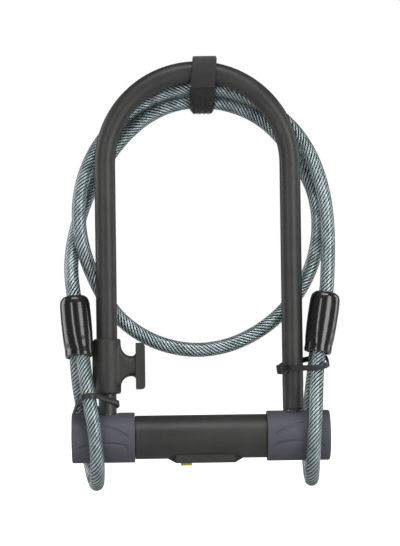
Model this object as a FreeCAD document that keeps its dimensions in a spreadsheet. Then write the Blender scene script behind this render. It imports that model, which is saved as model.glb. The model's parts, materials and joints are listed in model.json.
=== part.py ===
import FreeCAD, Part

import math
import os

import Sketcher
from FreeCAD import Placement, Rotation, Vector

# U lock: a bent steel shackle that slides into a crossbar with a double deadbolt mechanism, a
# coiled loop cable carried under a strap, and a clamp-on carrier bracket on the left leg.
# Frame: origin on the crossbar's axis at mid-length, +X along the crossbar to the right,
# +Z up the shackle's legs, front towards -Y.  All sizes are millimetres.

doc = FreeCAD.newDocument("u_lock")
sheet = doc.addObject("Spreadsheet::Sheet", "Sizes")

SIZES = (
    ("inside_width", 115.0, "clear width between the coated legs"),
    ("arch_height", 190.6, "centre of the arch above the crossbar axis"),
    ("bar_dia", 12.6, "bare shackle steel"),
    ("coating_od", 14.6, "shackle over its vinyl coating"),
    ("skin_gap", 0.02, "gap between a part and the skin moulded or pressed over it"),
    ("leg_end", 8.5, "leg ends below the crossbar axis"),
    ("leg_chamfer", 1.2, "lead-in on the leg ends"),
    ("coat_left", 31.0, "coating ends on the left leg, above the axis"),
    ("coat_right", 18.3, "coating ends on the right leg, above the axis"),
    ("notch_low", 1.0, "bolt notch in each leg, lower edge"),
    ("notch_high", 8.0, "bolt notch in each leg, upper edge"),
    ("notch_depth", 4.4, "bolt notch depth from the bar's inner side"),
    ("tube_od", 28.0, "crossbar tube outside"),
    ("tube_id", 22.8, "crossbar tube inside"),
    ("tube_length", 175.0, "crossbar tube"),
    ("sleeve_od", 30.4, "middle sleeve outside"),
    ("cap_od", 35.0, "end cap outside"),
    ("cap_start", 46.0, "inner rim of each end cap"),
    ("cap_end", 90.5, "outer end of each end cap"),
    ("cap_dome", 0.9, "rise of the cap's domed end"),
    ("cap_rim_fillet", 1.0, "outer rim of the end cap"),
    ("cap_rim_chamfer", 0.5, "inner rim of the end cap"),
    ("cap_groove", 0.6, "radius of the grooves pressed into the caps"),
    ("leg_hole_gap", 0.4, "leg hole in the tube, larger than the bar all round"),
    ("seal_od", 16.0, "leg seal outside"),
    ("seal_gap", 0.08, "leg seal to bare bar, radial"),
    ("seal_base", 14.1, "underside of the leg seal above the axis"),
    ("seal_height", 3.9, "leg seal"),
    ("block_start", 50.0, "inner face of each end block"),
    ("block_end", 87.4, "outer face of each end block"),
    ("socket_gap", 0.1, "leg socket to bare bar, radial"),
    ("socket_floor", 9.0, "floor of the leg socket below the axis"),
    ("block_pin_x", 80.0, "cross pin through each end block"),
    ("block_pin_dia", 4.0, "cross pin through each end block"),
    ("block_pin_length", 27.4, "cross pin through each end block"),
    ("bolt_base", 1.5, "underside of the deadbolts above the axis"),
    ("bolt_height", 6.0, "deadbolt bar"),
    ("bolt_width", 10.0, "deadbolt bar"),
    ("bolt_tip", 55.3, "deadbolt tip from mid-length, drawn back"),
    ("bolt_shoulder", 13.0, "where the deadbolt's yoke widens into its bar"),
    ("bolt_gap", 0.05, "deadbolt to its guides, each side"),
    ("yoke_out", 8.0, "outer side of the yoke from the axis"),
    ("yoke_in", 0.5, "inner side of the yoke from the axis"),
    ("yoke_slot_end", 6.7, "closed end of the yoke's slot"),
    ("yoke_wall", 2.2, "wall beyond the yoke's slot"),
    ("guide_start", 22.0, "inner face of each bolt guide"),
    ("guide_length", 6.0, "bolt guide"),
    ("pin_orbit", 5.0, "cam pins from the key axis"),
    ("cam_pin_dia", 3.0, "cam pin"),
    ("cam_pin_height", 7.2, "cam pin, from the middle of the cam"),
    ("cam_pin_play", 0.2, "cam pin in the yoke slot, each side"),
    ("cam_dia", 14.4, "bolt cam"),
    ("cam_base", -0.5, "underside of the cam"),
    ("cam_height", 1.8, "cam thickness"),
    ("spindle_side", 5.0, "square spindle on top of the core"),
    ("spindle_top", 0.4, "top of the square spindle"),
    ("cam_screw_head", 6.0, "cam screw head"),
    ("cam_screw_shank", 2.4, "cam screw shank"),
    ("housing_od", 16.0, "key cylinder housing"),
    ("housing_base", -14.0, "mouth of the housing"),
    ("housing_top", -0.6, "top of the housing"),
    ("housing_lip", 1.4, "lip that keeps the core in"),
    ("housing_mouth", 9.2, "key opening in the lip"),
    ("core_od", 12.4, "cylinder core"),
    ("core_gap", 0.05, "core in its housing, radial"),
    ("core_base", -12.5, "mouth of the core"),
    ("core_top", -0.8, "shoulder of the core"),
    ("core_bore", 10.7, "disc chamber in the core"),
    ("core_roof", -2.6, "roof of the disc chamber"),
    ("disc_dia", 10.6, "detainer discs"),
    ("disc_thick", 0.95, "detainer disc"),
    ("spacer_thick", 0.7, "spacer between discs"),
    ("disc_pitch", 1.7, "disc to disc"),
    ("disc_count", 5, "detainer discs"),
    ("first_disc", -11.2, "underside of the lowest disc"),
    ("guard_thick", 1.15, "drill guard disc"),
    ("sidebar_dia", 1.5, "sidebar"),
    ("sidebar_orbit", 5.4, "sidebar from the key axis"),
    ("sidebar_length", 8.2, "sidebar"),
    ("housing_pin_dia", 2.5, "pin that holds the housing"),
    ("housing_pin_x", 7.8, "pin that holds the housing"),
    ("housing_pin_z", -5.0, "pin that holds the housing"),
    ("housing_pin_length", 24.6, "pin that holds the housing"),
    ("shroud_left", -23.4, "left tip of the keyway shroud"),
    ("shroud_flat_left", -17.5, "left end of its flat underside"),
    ("shroud_flat_right", 23.5, "right end of its flat underside"),
    ("shroud_right", 29.3, "right tip of the keyway shroud"),
    ("shroud_bottom", -18.0, "flat underside"),
    ("shroud_tip_z", -15.1, "underside at the tips"),
    ("shroud_half", 9.0, "half width of the shroud"),
    ("shroud_tip_half", 1.5, "half width at the tips"),
    ("cavity_left", -14.6, "shutter cavity, left end"),
    ("cavity_right", 24.0, "shutter cavity, right end"),
    ("cavity_half", 6.6, "shutter cavity, half width"),
    ("cavity_floor", -17.0, "shutter cavity, floor"),
    ("window_right", 12.5, "window in the underside, right end"),
    ("window_half", 5.2, "window in the underside, half width"),
    ("shutter_left", -14.4, "shutter slab, left end, closed"),
    ("shutter_right", 5.0, "shutter slab, right end, closed"),
    ("shutter_half", 6.4, "shutter slab, half width"),
    ("shutter_base", -16.95, "shutter slab, underside"),
    ("shutter_thick", 1.4, "shutter slab"),
    ("tab_left", -14.3, "finger tab, left end"),
    ("tab_length", 7.8, "finger tab"),
    ("tab_half", 5.0, "finger tab, half width"),
    ("tab_bottom", -20.0, "finger tab, underside"),
    ("guide_plate_base", -15.5, "underside of the shutter guide"),
    ("keyhole_dia", 8.4, "key opening in the shutter guide"),
    ("shroud_screw_x", -18.8, "shroud screws"),
    ("shroud_screw_y", 3.4, "shroud screws"),
    ("shroud_screw_seat", -15.8, "seat of the shroud screw heads"),
    ("shroud_screw_head", 3.2, "shroud screw head"),
    ("shroud_screw_dia", 2.0, "shroud screw shank"),
    ("clamp_low", 30.6, "bracket collar, lower end"),
    ("clamp_high", 69.0, "bracket collar, upper end"),
    ("collar_radius", 9.6, "bracket collar outside"),
    ("liner_thick", 0.75, "rubber liner in the bracket"),
    ("split_gap", 0.2, "gap between the two clamp halves"),
    ("ear_reach", 10.3, "hook ear beyond the leg's centre"),
    ("ear_half", 2.4, "hook ear, half depth"),
    ("ear_inset", 1.0, "ear ends short of the collar's ends"),
    ("neck_half_depth", 6.5, "bracket neck, half depth"),
    ("neck_half", 7.15, "bracket neck, half height"),
    ("neck_root", 3.0, "how far the neck runs into the collar's wall"),
    ("pocket_big", 7.0, "round of the pocket beside the collar"),
    ("pocket_small", 2.5, "round of the pocket beside the tongue"),
    ("tongue_inner", 19.9, "inner face of the tongue from the leg's centre"),
    ("tongue_outer", 26.5, "outer face of the tongue from the leg's centre"),
    ("tongue_half", 16.25, "tongue, half height"),
    ("tongue_half_depth", 7.8, "tongue, half depth"),
    ("tongue_round", 3.0, "outer corners of the tongue"),
    ("clamp_screw_x", 14.2, "clamp screws from the leg's centre"),
    ("clamp_screw_z", 3.6, "clamp screws above and below mid-height"),
    ("clamp_screw_dia", 3.0, "clamp screw shank"),
    ("clamp_screw_head", 5.2, "clamp screw head"),
    ("clamp_screw_seat", 3.9, "seat of the screw heads behind the split"),
    ("clamp_screw_tip", 5.2, "screw tips in front of the split"),
    ("cable_od", 10.0, "cable over its clear jacket"),
    ("rope_dia", 8.2, "steel rope inside the jacket"),
    ("ferrule_length", 26.0, "crimped ferrule"),
    ("ferrule_lift", 8.0, "ferrule above the boot's mouth"),
    ("ferrule_radius", 5.1, "half thickness of the ferrule"),
    ("rope_offset", 4.5, "loop ends from the ferrule's centre line"),
    ("loop_socket", 14.0, "depth of the loop's sockets in the ferrule"),
    ("coil_socket", 9.0, "depth of the coil's socket in the ferrule"),
    ("boot_wall", 0.7, "boot wall"),
    ("boot_play", 0.5, "boot to the coil's jacket in its top hole"),
    ("strap_width", 17.5, "hook-and-loop strap"),
    ("strap_thick", 2.3, "hook-and-loop strap, both layers"),
    ("strap_x", 5.0, "middle of the strap"),
    ("tie_width", 3.8, "cable tie band"),
    ("tie_thick", 1.2, "cable tie band"),
    ("tie_slack", 0.75, "cable tie band to what it holds"),
    ("tie_head_depth", 5.2, "cable tie head, along the outward direction"),
    ("tie_head_length", 6.4, "cable tie head, along the band"),
    ("tie_head_height", 6.0, "cable tie head"),
    ("tie_head_inner", 2.8, "part of the head's depth inside its centre"),
    ("tie_tail", 5.0, "cut tail of the cable tie"),
    ("strap_gap", 0.4, "strap to what it holds"),
    ("strand_y", 15.6, "lower coil strand under the strap, from the arch's plane"),
    ("strand_z", 235.15, "lower coil strand under the strap"),
    ("strand_drift", 0.85, "how far the strand wanders within the strap's width"),
    ("strap_rise", 0.5, "slack of the strap over the arch"),
    ("jacket_gap", 0.1, "jacket to the rope"),
    ("jacket_stop", 0.6, "jacket ends short of the ferrule"),
    ("loop_play", 0.2, "the loop's two jackets from their middle line at the boot's mouth"),
)

for row, (alias, value, meaning) in enumerate(SIZES, start=1):
    sheet.set(f"A{row}", meaning)
    sheet.set(f"B{row}", str(value))
    sheet.setAlias(f"B{row}", alias)
doc.recompute()

LEG_X = "((Sizes.inside_width + Sizes.coating_od) / 2)"
BAR_R = "(Sizes.bar_dia / 2)"
COAT_R = "(Sizes.coating_od / 2)"
PIN_SHIFT = "(Sizes.pin_orbit / sqrt(2))"
CLAMP_MID = "((Sizes.clamp_low + Sizes.clamp_high) / 2)"
LINER_R = "(Sizes.coating_od / 2 + Sizes.skin_gap + Sizes.liner_thick)"
FULL_TURN = 360.0
HALF_TURN = Rotation(Vector(0, 0, 1), 180)
ALONG_Y = Rotation(Vector(1, 0, 0), -90)
ALONG_X = Rotation(Vector(0, 1, 0), 90)

pieces = []


# ---------------------------------------------------------------- helpers

def number(expression):
    """Value of an expression over the sheet."""
    result = sheet.evalExpression(str(expression))
    return float(getattr(result, "Value", result))


def size(alias):
    return float(sheet.get(alias))


def keep(item, label, placement=None):
    """Name a finished sub-part and put it on the export list."""
    item.Label = label
    if placement is not None:
        item.Placement = placement
    pieces.append(item)
    return item


def new_body(name):
    return doc.addObject("PartDesign::Body", name)


def sketch_on(body, plane, offset="0"):
    """Sketch on one of the body's own origin planes, moved along that plane's normal."""
    sketch = body.newObject("Sketcher::SketchObject", body.Name + "_sketch")
    support = next(item for item in body.Origin.OriginFeatures if item.Role == plane)
    sketch.AttachmentSupport = [(support, "")]
    sketch.MapMode = "FlatFace"
    sketch.setExpression("AttachmentOffset.Base.z", offset)
    return sketch


def bind(sketch, constraint, expression):
    index = sketch.addConstraint(constraint)
    sketch.setExpression(f"Constraints[{index}]", expression)


def pin_point(sketch, geometry, vertex, x, y):
    """Hold one sketch point at (x, y) from the sketch's origin."""
    bind(sketch, Sketcher.Constraint("DistanceX", -1, 1, geometry, vertex, number(x)), x)
    bind(sketch, Sketcher.Constraint("DistanceY", -1, 1, geometry, vertex, number(y)), y)


def circle(sketch, radius, x="0", y="0"):
    centre = Vector(number(x), number(y), 0)
    round_edge = Part.Circle(centre, Vector(0, 0, 1), number(radius))
    geometry = sketch.addGeometry(round_edge, False)
    bind(sketch, Sketcher.Constraint("Radius", geometry, number(radius)), radius)
    pin_point(sketch, geometry, 3, x, y)


def arc_between(start, end, radius, turns_left):
    """Shorter arc from start to end, turning left or right on the way."""
    middle = (start + end) / 2
    along = end - start
    half = along.Length / 2
    left = Vector(-along.y, along.x, 0).normalize()
    side = 1 if turns_left else -1
    centre = middle + left * side * math.sqrt(max(radius * radius - half * half, 0))
    first, last = (start, end) if turns_left else (end, start)
    from_angle = math.atan2(first.y - centre.y, first.x - centre.x)
    to_angle = math.atan2(last.y - centre.y, last.x - centre.x)
    if to_angle <= from_angle:
        to_angle += 2 * math.pi
    return Part.ArcOfCircle(Part.Circle(centre, Vector(0, 0, 1), radius), from_angle, to_angle)


def outline(sketch, corners, closed=True):
    """Straight and round edges through corners (x, y) or (x, y, radius, turns_left).

    The radius belongs to the edge that arrives at that corner.
    """
    points = [Vector(number(corner[0]), number(corner[1]), 0) for corner in corners]
    steps = range(len(corners)) if closed else range(1, len(corners))
    edges = []
    for step in steps:
        corner = corners[step]
        start, end = points[step - 1], points[step]
        if len(corner) == 2:
            geometry = sketch.addGeometry(Part.LineSegment(start, end), False)
            edges.append((geometry, 1, 2))
        else:
            radius, turns_left = corner[2], corner[3]
            arc = arc_between(start, end, number(radius), turns_left)
            geometry = sketch.addGeometry(arc, False)
            bind(sketch, Sketcher.Constraint("Radius", geometry, number(radius)), radius)
            edges.append((geometry, 1, 2) if turns_left else (geometry, 2, 1))
        pin_point(sketch, geometry, edges[-1][2], corner[0], corner[1])
    if not closed:
        pin_point(sketch, edges[0][0], edges[0][1], corners[0][0], corners[0][1])
    for order, (geometry, first, _) in enumerate(edges):
        if order == 0 and not closed:
            continue
        previous, _, last = edges[order - 1]
        sketch.addConstraint(Sketcher.Constraint("Coincident", previous, last, geometry, first))


def rectangle(sketch, left, low, right, high):
    outline(sketch, [(left, low), (right, low), (right, high), (left, high)])


def pad(body, sketch, length, symmetric=False):
    feature = body.newObject("PartDesign::Pad", body.Name + "_pad")
    feature.Profile = sketch
    feature.setExpression("Length", length)
    if symmetric:
        feature.SideType = "Symmetric"
    return feature


def pocket(body, sketch, depth=None, forward=False, symmetric=False):
    """Cut against the sketch's normal, or along it when forward; through all without a depth."""
    feature = body.newObject("PartDesign::Pocket", body.Name + "_pocket")
    feature.Profile = sketch
    feature.Reversed = forward
    if depth is None:
        feature.Type = "ThroughAll"
    else:
        feature.setExpression("Length", depth)
    if symmetric:
        feature.SideType = "Symmetric"
    return feature


def revolve(body, sketch, axis):
    feature = body.newObject("PartDesign::Revolution", body.Name + "_revolution")
    feature.Profile = sketch
    feature.ReferenceAxis = (sketch, [axis])
    feature.Angle = FULL_TURN
    return feature


def dress(body, kind, base, wanted, expression):
    """Fillet or chamfer on the edges of base that the test accepts."""
    doc.recompute()
    names = [f"Edge{i}" for i, edge in enumerate(base.Shape.Edges, start=1) if wanted(edge)]
    feature = body.newObject("PartDesign::" + kind, body.Name + "_" + kind.lower())
    feature.Base = (base, names)
    feature.setExpression("Radius" if kind == "Fillet" else "Size", expression)
    return feature


def is_round(edge, radius, axis, place, tolerance=0.01):
    """True for a full circle of this radius about an axis letter at this height along it."""
    if edge.Degenerated or not isinstance(edge.Curve, Part.Circle):
        return False
    centre = getattr(edge.Curve.Center, axis)
    return abs(edge.Curve.Radius - radius) < tolerance and abs(centre - place) < tolerance


def cylinder(name, radius, height, x="0", y="0", z="0", rotation=None):
    item = doc.addObject("Part::Cylinder", name)
    item.setExpression("Radius", radius)
    item.setExpression("Height", height)
    if rotation is not None:
        item.Placement = Placement(Vector(0, 0, 0), rotation)
    item.setExpression("Placement.Base.x", x)
    item.setExpression("Placement.Base.y", y)
    item.setExpression("Placement.Base.z", z)
    return item


def box(name, corner, lengths):
    item = doc.addObject("Part::Box", name)
    for prop, expression in zip(("Length", "Width", "Height"), lengths):
        item.setExpression(prop, expression)
    for axis, expression in zip("xyz", corner):
        item.setExpression("Placement.Base." + axis, expression)
    return item


def cut(name, base, tool):
    item = doc.addObject("Part::Cut", name)
    item.Base = base
    item.Tool = tool
    return item


def compound(name, members):
    item = doc.addObject("Part::Compound", name)
    item.Links = members
    return item


def solid_feature(name, shape):
    """A Part::Feature for a form that neither sketches nor primitives describe."""
    item = doc.addObject("Part::Feature", name)
    item.Shape = shape
    return item


# ---------------------------------------------------------------- crossbar shell

def crossbar_tube():
    body = new_body("crossbar_tube")
    ring = sketch_on(body, "YZ_Plane")
    circle(ring, "Sizes.tube_od / 2")
    circle(ring, "Sizes.tube_id / 2")
    pad(body, ring, "Sizes.tube_length", symmetric=True)
    leg_holes = sketch_on(body, "XY_Plane")
    for x in (LEG_X, "-" + LEG_X):
        circle(leg_holes, BAR_R + " + Sizes.leg_hole_gap", x=x)
    pocket(body, leg_holes, forward=True)
    mouth = sketch_on(body, "XY_Plane")
    circle(mouth, "Sizes.housing_od / 2 + Sizes.skin_gap")
    pocket(body, mouth)
    block_pins = sketch_on(body, "XZ_Plane")
    for x in ("Sizes.block_pin_x", "-Sizes.block_pin_x"):
        circle(block_pins, "Sizes.block_pin_dia / 2 + Sizes.skin_gap", x=x)
    pocket(body, block_pins, symmetric=True)
    housing_pin = sketch_on(body, "XZ_Plane")
    circle(housing_pin, "Sizes.housing_pin_dia / 2", x="Sizes.housing_pin_x", y="Sizes.housing_pin_z")
    pocket(body, housing_pin, symmetric=True)
    screws = sketch_on(body, "XY_Plane")
    for y in ("Sizes.shroud_screw_y", "-Sizes.shroud_screw_y"):
        circle(screws, "Sizes.shroud_screw_dia / 2 + Sizes.skin_gap", x="Sizes.shroud_screw_x", y=y)
    pocket(body, screws)
    keep(body, "crossbar_tube")


def shroud_plan(sketch, gap="0"):
    """Long hexagon of the keyway shroud seen from below, grown by a gap."""
    outline(sketch, [
        (f"Sizes.shroud_left - {gap}", f"-Sizes.shroud_tip_half - {gap}"),
        ("Sizes.shroud_flat_left", f"-Sizes.shroud_half - {gap}"),
        ("Sizes.shroud_flat_right", f"-Sizes.shroud_half - {gap}"),
        (f"Sizes.shroud_right + {gap}", f"-Sizes.shroud_tip_half - {gap}"),
        (f"Sizes.shroud_right + {gap}", f"Sizes.shroud_tip_half + {gap}"),
        ("Sizes.shroud_flat_right", f"Sizes.shroud_half + {gap}"),
        ("Sizes.shroud_flat_left", f"Sizes.shroud_half + {gap}"),
        (f"Sizes.shroud_left - {gap}", f"Sizes.shroud_tip_half + {gap}"),
    ])


def crossbar_sleeve():
    body = new_body("crossbar_sleeve")
    ring = sketch_on(body, "YZ_Plane")
    circle(ring, "Sizes.sleeve_od / 2")
    circle(ring, "Sizes.tube_od / 2 + Sizes.skin_gap")
    pad(body, ring, "2 * Sizes.cap_start - Sizes.skin_gap", symmetric=True)
    opening = sketch_on(body, "XY_Plane")
    shroud_plan(opening, "4 * Sizes.skin_gap")
    pocket(body, opening)
    keep(body, "crossbar_sleeve")


def cap_shell(name):
    """Domed tube end with a closed outer wall and the leg's hole on top, at the right end."""
    body = new_body(name)
    profile = sketch_on(body, "XZ_Plane")
    bore = "Sizes.tube_od / 2 + Sizes.skin_gap"
    wall = "Sizes.tube_length / 2 + 5 * Sizes.skin_gap"
    dome = "(Sizes.cap_od ^ 2 / 4 + Sizes.cap_dome ^ 2) / (2 * Sizes.cap_dome)"
    outline(profile, [
        ("Sizes.cap_start", bore),
        ("Sizes.cap_start", "Sizes.cap_od / 2"),
        ("Sizes.cap_end - Sizes.cap_dome", "Sizes.cap_od / 2"),
        ("Sizes.cap_end", "0", dome, False),
        (wall, "0"),
        (wall, bore),
    ])
    shell = revolve(body, profile, "H_Axis")
    radius = size("cap_od") / 2
    rim = size("cap_end") - size("cap_dome")
    rounded = dress(body, "Fillet", shell, lambda edge: is_round(edge, radius, "x", rim),
                    "Sizes.cap_rim_fillet")
    start = size("cap_start")
    dress(body, "Chamfer", rounded, lambda edge: is_round(edge, radius, "x", start),
          "Sizes.cap_rim_chamfer")
    leg_hole = sketch_on(body, "XY_Plane")
    circle(leg_hole, "Sizes.seal_od / 2 + Sizes.skin_gap", x=LEG_X)
    pocket(body, leg_hole, forward=True)
    return body


def groove_tool(name):
    """Thin curved rods that press the flared lines into the cap, mirrored front to back."""
    radius = size("cap_od") / 2
    reach = number(LEG_X)
    # each line runs in (along the bar from the leg's centre, height), flaring towards the middle
    lines = (
        ((-13.0, 1.6), (-8.0, 4.8), (-3.0, 6.8), (3.0, 8.4), (7.7, 9.4)),
        ((-12.6, -6.6), (-11.2, -5.2), (-7.0, -4.3), (-1.0, -3.6), (6.0, -3.7)),
        ((19.6, -7.0), (16.8, -5.7), (13.4, -4.8)),
    )
    rods = []
    for line in lines:
        for front in (-1, 1):
            points = [
                Vector(reach + along, front * math.sqrt(radius * radius - height * height), height)
                for along, height in line
            ]
            curve = Part.BSplineCurve()
            curve.interpolate(points)
            start_tangent = curve.tangent(curve.FirstParameter)[0]
            ring = Part.Wire(Part.Circle(points[0], start_tangent, size("cap_groove")).toShape())
            rods.append(Part.Wire(curve.toShape()).makePipeShell([ring], True, True))
            rods.append(Part.makeSphere(size("cap_groove"), points[0]))
    return solid_feature(name, Part.makeCompound(rods))


def end_cap(label, placement=None):
    shell = cap_shell(label + "_shell")
    keep(cut(label, shell, groove_tool(label + "_grooves")), label, placement)


def end_block(label, placement=None):
    """Zinc plug with the blind socket for a leg and the guide for a deadbolt."""
    body = new_body(label)
    disc = sketch_on(body, "YZ_Plane", "Sizes.block_start")
    circle(disc, "Sizes.tube_id / 2 - Sizes.skin_gap")
    pad(body, disc, "Sizes.block_end - Sizes.block_start")
    socket = sketch_on(body, "XY_Plane", "-Sizes.socket_floor")
    circle(socket, BAR_R + " + Sizes.socket_gap", x=LEG_X)
    pocket(body, socket, forward=True)
    guide = sketch_on(body, "YZ_Plane", "Sizes.block_start")
    bolt_window(guide)
    pocket(body, guide, LEG_X + " - Sizes.block_start", forward=True)
    pin = sketch_on(body, "XZ_Plane")
    circle(pin, "Sizes.block_pin_dia / 2 + Sizes.skin_gap", x="Sizes.block_pin_x")
    pocket(body, pin, symmetric=True)
    keep(body, label, placement)


def bolt_window(sketch):
    """Rectangle that a deadbolt slides through, on a plane square to the bar."""
    half = "Sizes.bolt_width / 2 + Sizes.bolt_gap"
    low = "Sizes.bolt_base - Sizes.bolt_gap"
    high = "Sizes.bolt_base + Sizes.bolt_height + Sizes.bolt_gap"
    rectangle(sketch, "-(" + half + ")", low, half, high)


def block_pins():
    pins = []
    for name, x in (("block_pin_left", "-Sizes.block_pin_x"), ("block_pin_right", "Sizes.block_pin_x")):
        pins.append(cylinder(name, "Sizes.block_pin_dia / 2", "Sizes.block_pin_length", x=x,
                             y="-Sizes.block_pin_length / 2", rotation=ALONG_Y))
    keep(compound("end_block_pins", pins), "end_block_pins")


def leg_seal(label, placement=None):
    body = new_body(label)
    ring = sketch_on(body, "XY_Plane", "Sizes.seal_base")
    circle(ring, "Sizes.seal_od / 2", x=LEG_X)
    circle(ring, BAR_R + " + Sizes.seal_gap", x=LEG_X)
    base = pad(body, ring, "Sizes.seal_height")
    top = size("seal_base") + size("seal_height")
    dress(body, "Fillet", base, lambda edge: is_round(edge, size("seal_od") / 2, "z", top), "0.6")
    keep(body, label, placement)


def bolt_guide(label, placement=None):
    body = new_body(label)
    face = sketch_on(body, "YZ_Plane", "Sizes.guide_start")
    circle(face, "Sizes.tube_id / 2 - Sizes.skin_gap")
    bolt_window(face)
    pad(body, face, "Sizes.guide_length")
    keep(body, label, placement)


# ---------------------------------------------------------------- key cylinder

def cylinder_housing():
    body = new_body("cylinder_housing")
    base = sketch_on(body, "XY_Plane", "Sizes.housing_base")
    circle(base, "Sizes.housing_od / 2")
    pad(body, base, "Sizes.housing_top - Sizes.housing_base")
    bore = sketch_on(body, "XY_Plane", "Sizes.housing_base + Sizes.housing_lip")
    circle(bore, "Sizes.core_od / 2 + Sizes.core_gap")
    pocket(body, bore, forward=True)
    mouth = sketch_on(body, "XY_Plane", "Sizes.housing_base + Sizes.housing_lip")
    circle(mouth, "Sizes.housing_mouth / 2")
    pocket(body, mouth)
    groove = sketch_on(body, "XZ_Plane")
    circle(groove, "Sizes.housing_pin_dia / 2", x="Sizes.housing_pin_x", y="Sizes.housing_pin_z")
    pocket(body, groove, symmetric=True)
    keep(body, "cylinder_housing")


def cylinder_pin():
    pin = cylinder("cylinder_pin", "Sizes.housing_pin_dia / 2 - Sizes.skin_gap",
                   "Sizes.housing_pin_length", x="Sizes.housing_pin_x",
                   y="-Sizes.housing_pin_length / 2", z="Sizes.housing_pin_z", rotation=ALONG_Y)
    keep(pin, "cylinder_pin")


def cylinder_core():
    """Turning core: an open disc chamber below, a square spindle on top, a slot for the sidebar."""
    body = new_body("cylinder_core")
    base = sketch_on(body, "XY_Plane", "Sizes.core_base")
    circle(base, "Sizes.core_od / 2")
    pad(body, base, "Sizes.core_top - Sizes.core_base")
    spindle = sketch_on(body, "XY_Plane", "Sizes.core_top")
    half = "Sizes.spindle_side / 2"
    rectangle(spindle, "-" + half, "-" + half, half, half)
    pad(body, spindle, "Sizes.spindle_top - Sizes.core_top")
    chamber = sketch_on(body, "XY_Plane", "Sizes.core_roof")
    circle(chamber, "Sizes.core_bore / 2")
    pocket(body, chamber)
    slot = sketch_on(body, "XY_Plane", "Sizes.first_disc + Sizes.sidebar_length + 0.2")
    half_slot = "(Sizes.sidebar_dia / 2 + 0.05)"
    rectangle(slot, "Sizes.sidebar_orbit - 0.5", "-" + half_slot, "Sizes.core_od / 2 + 0.5", half_slot)
    pocket(body, slot, "Sizes.sidebar_length + 0.2")
    screw_hole = sketch_on(body, "XY_Plane", "Sizes.spindle_top")
    circle(screw_hole, "Sizes.cam_screw_shank / 2")
    pocket(body, screw_hole, "Sizes.spindle_top - Sizes.core_roof - 0.2")
    keep(body, "cylinder_core")


def drill_guard():
    body = new_body("drill_guard")
    disc = sketch_on(body, "XY_Plane", "Sizes.core_base + Sizes.core_gap")
    circle(disc, "Sizes.disc_dia / 2")
    rectangle(disc, "-1.8", "-0.8", "1.8", "0.8")
    pad(body, disc, "Sizes.guard_thick")
    keep(body, "drill_guard")


def sidebar_notch(name, z, height):
    return cylinder(name, "Sizes.sidebar_dia / 2 + 0.1", height, x="Sizes.sidebar_orbit", z=z)


def disc_stack():
    """Detainer discs and the spacers between them, each with a gate for the sidebar."""
    discs = []
    spacers = []
    for index in range(int(size("disc_count"))):
        disc_z = f"Sizes.first_disc + {index} * Sizes.disc_pitch"
        blank = cylinder(f"disc_blank_{index}", "Sizes.disc_dia / 2", "Sizes.disc_thick", z=disc_z)
        keyway = box(f"disc_keyway_{index}", ("-3.5", "-1.3", disc_z), ("7.0", "2.6", "Sizes.disc_thick"))
        gate = sidebar_notch(f"disc_gate_{index}", disc_z, "Sizes.disc_thick")
        discs.append(cut(f"disc_{index}", blank, compound(f"disc_tools_{index}", [keyway, gate])))
        spacer_z = disc_z + " + Sizes.disc_thick + 0.02"
        ring = cylinder(f"spacer_blank_{index}", "Sizes.disc_dia / 2", "Sizes.spacer_thick", z=spacer_z)
        opening = cylinder(f"spacer_bore_{index}", "4.2", "Sizes.spacer_thick", z=spacer_z)
        relief = sidebar_notch(f"spacer_gate_{index}", spacer_z, "Sizes.spacer_thick")
        tools = compound(f"spacer_tools_{index}", [opening, relief])
        spacers.append(cut(f"spacer_{index}", ring, tools))
    keep(compound("detainer_discs", discs), "detainer_discs")
    keep(compound("disc_spacers", spacers), "disc_spacers")


def sidebar():
    rod = cylinder("sidebar", "Sizes.sidebar_dia / 2", "Sizes.sidebar_length",
                   x="Sizes.sidebar_orbit", z="Sizes.first_disc + 0.1")
    keep(rod, "sidebar")


def bolt_cam():
    body = new_body("bolt_cam")
    disc = sketch_on(body, "XY_Plane", "Sizes.cam_base")
    circle(disc, "Sizes.cam_dia / 2")
    pad(body, disc, "Sizes.cam_height")
    square = sketch_on(body, "XY_Plane", "Sizes.cam_base")
    half = "(Sizes.spindle_side / 2 + Sizes.skin_gap)"
    rectangle(square, "-" + half, "-" + half, half, half)
    pocket(body, square, "Sizes.spindle_top - Sizes.cam_base", forward=True)
    recess = sketch_on(body, "XY_Plane", "Sizes.cam_base + Sizes.cam_height")
    circle(recess, "Sizes.cam_screw_head / 2 + 0.1")
    pocket(body, recess, "Sizes.cam_base + Sizes.cam_height - Sizes.spindle_top")
    pin_holes = sketch_on(body, "XY_Plane", "Sizes.cam_base + Sizes.cam_height")
    circle(pin_holes, "Sizes.cam_pin_dia / 2", x="-" + PIN_SHIFT, y=PIN_SHIFT)
    circle(pin_holes, "Sizes.cam_pin_dia / 2", x=PIN_SHIFT, y="-" + PIN_SHIFT)
    pocket(body, pin_holes, "Sizes.cam_base + Sizes.cam_height")
    keep(body, "bolt_cam")


def cam_pins():
    pins = []
    for name, x, y in (("cam_pin_a", "-" + PIN_SHIFT, PIN_SHIFT), ("cam_pin_b", PIN_SHIFT, "-" + PIN_SHIFT)):
        pins.append(cylinder(name, "Sizes.cam_pin_dia / 2", "Sizes.cam_pin_height", x=x, y=y))
    keep(compound("cam_pins", pins), "cam_pins")


def cam_screw():
    head = cylinder("cam_screw_head", "Sizes.cam_screw_head / 2", "0.85", z="Sizes.spindle_top")
    shank = cylinder("cam_screw_shank", "Sizes.cam_screw_shank / 2",
                     "Sizes.spindle_top - Sizes.core_roof - 0.25", z="Sizes.core_roof + 0.25")
    blank = doc.addObject("Part::Fuse", "cam_screw_blank")
    blank.Base = head
    blank.Tool = shank
    slot = box("cam_screw_slot", ("-4", "-0.4", "Sizes.spindle_top + 0.45"), ("8", "0.8", "1"))
    keep(cut("cam_screw", blank, slot), "cam_screw")


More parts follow.
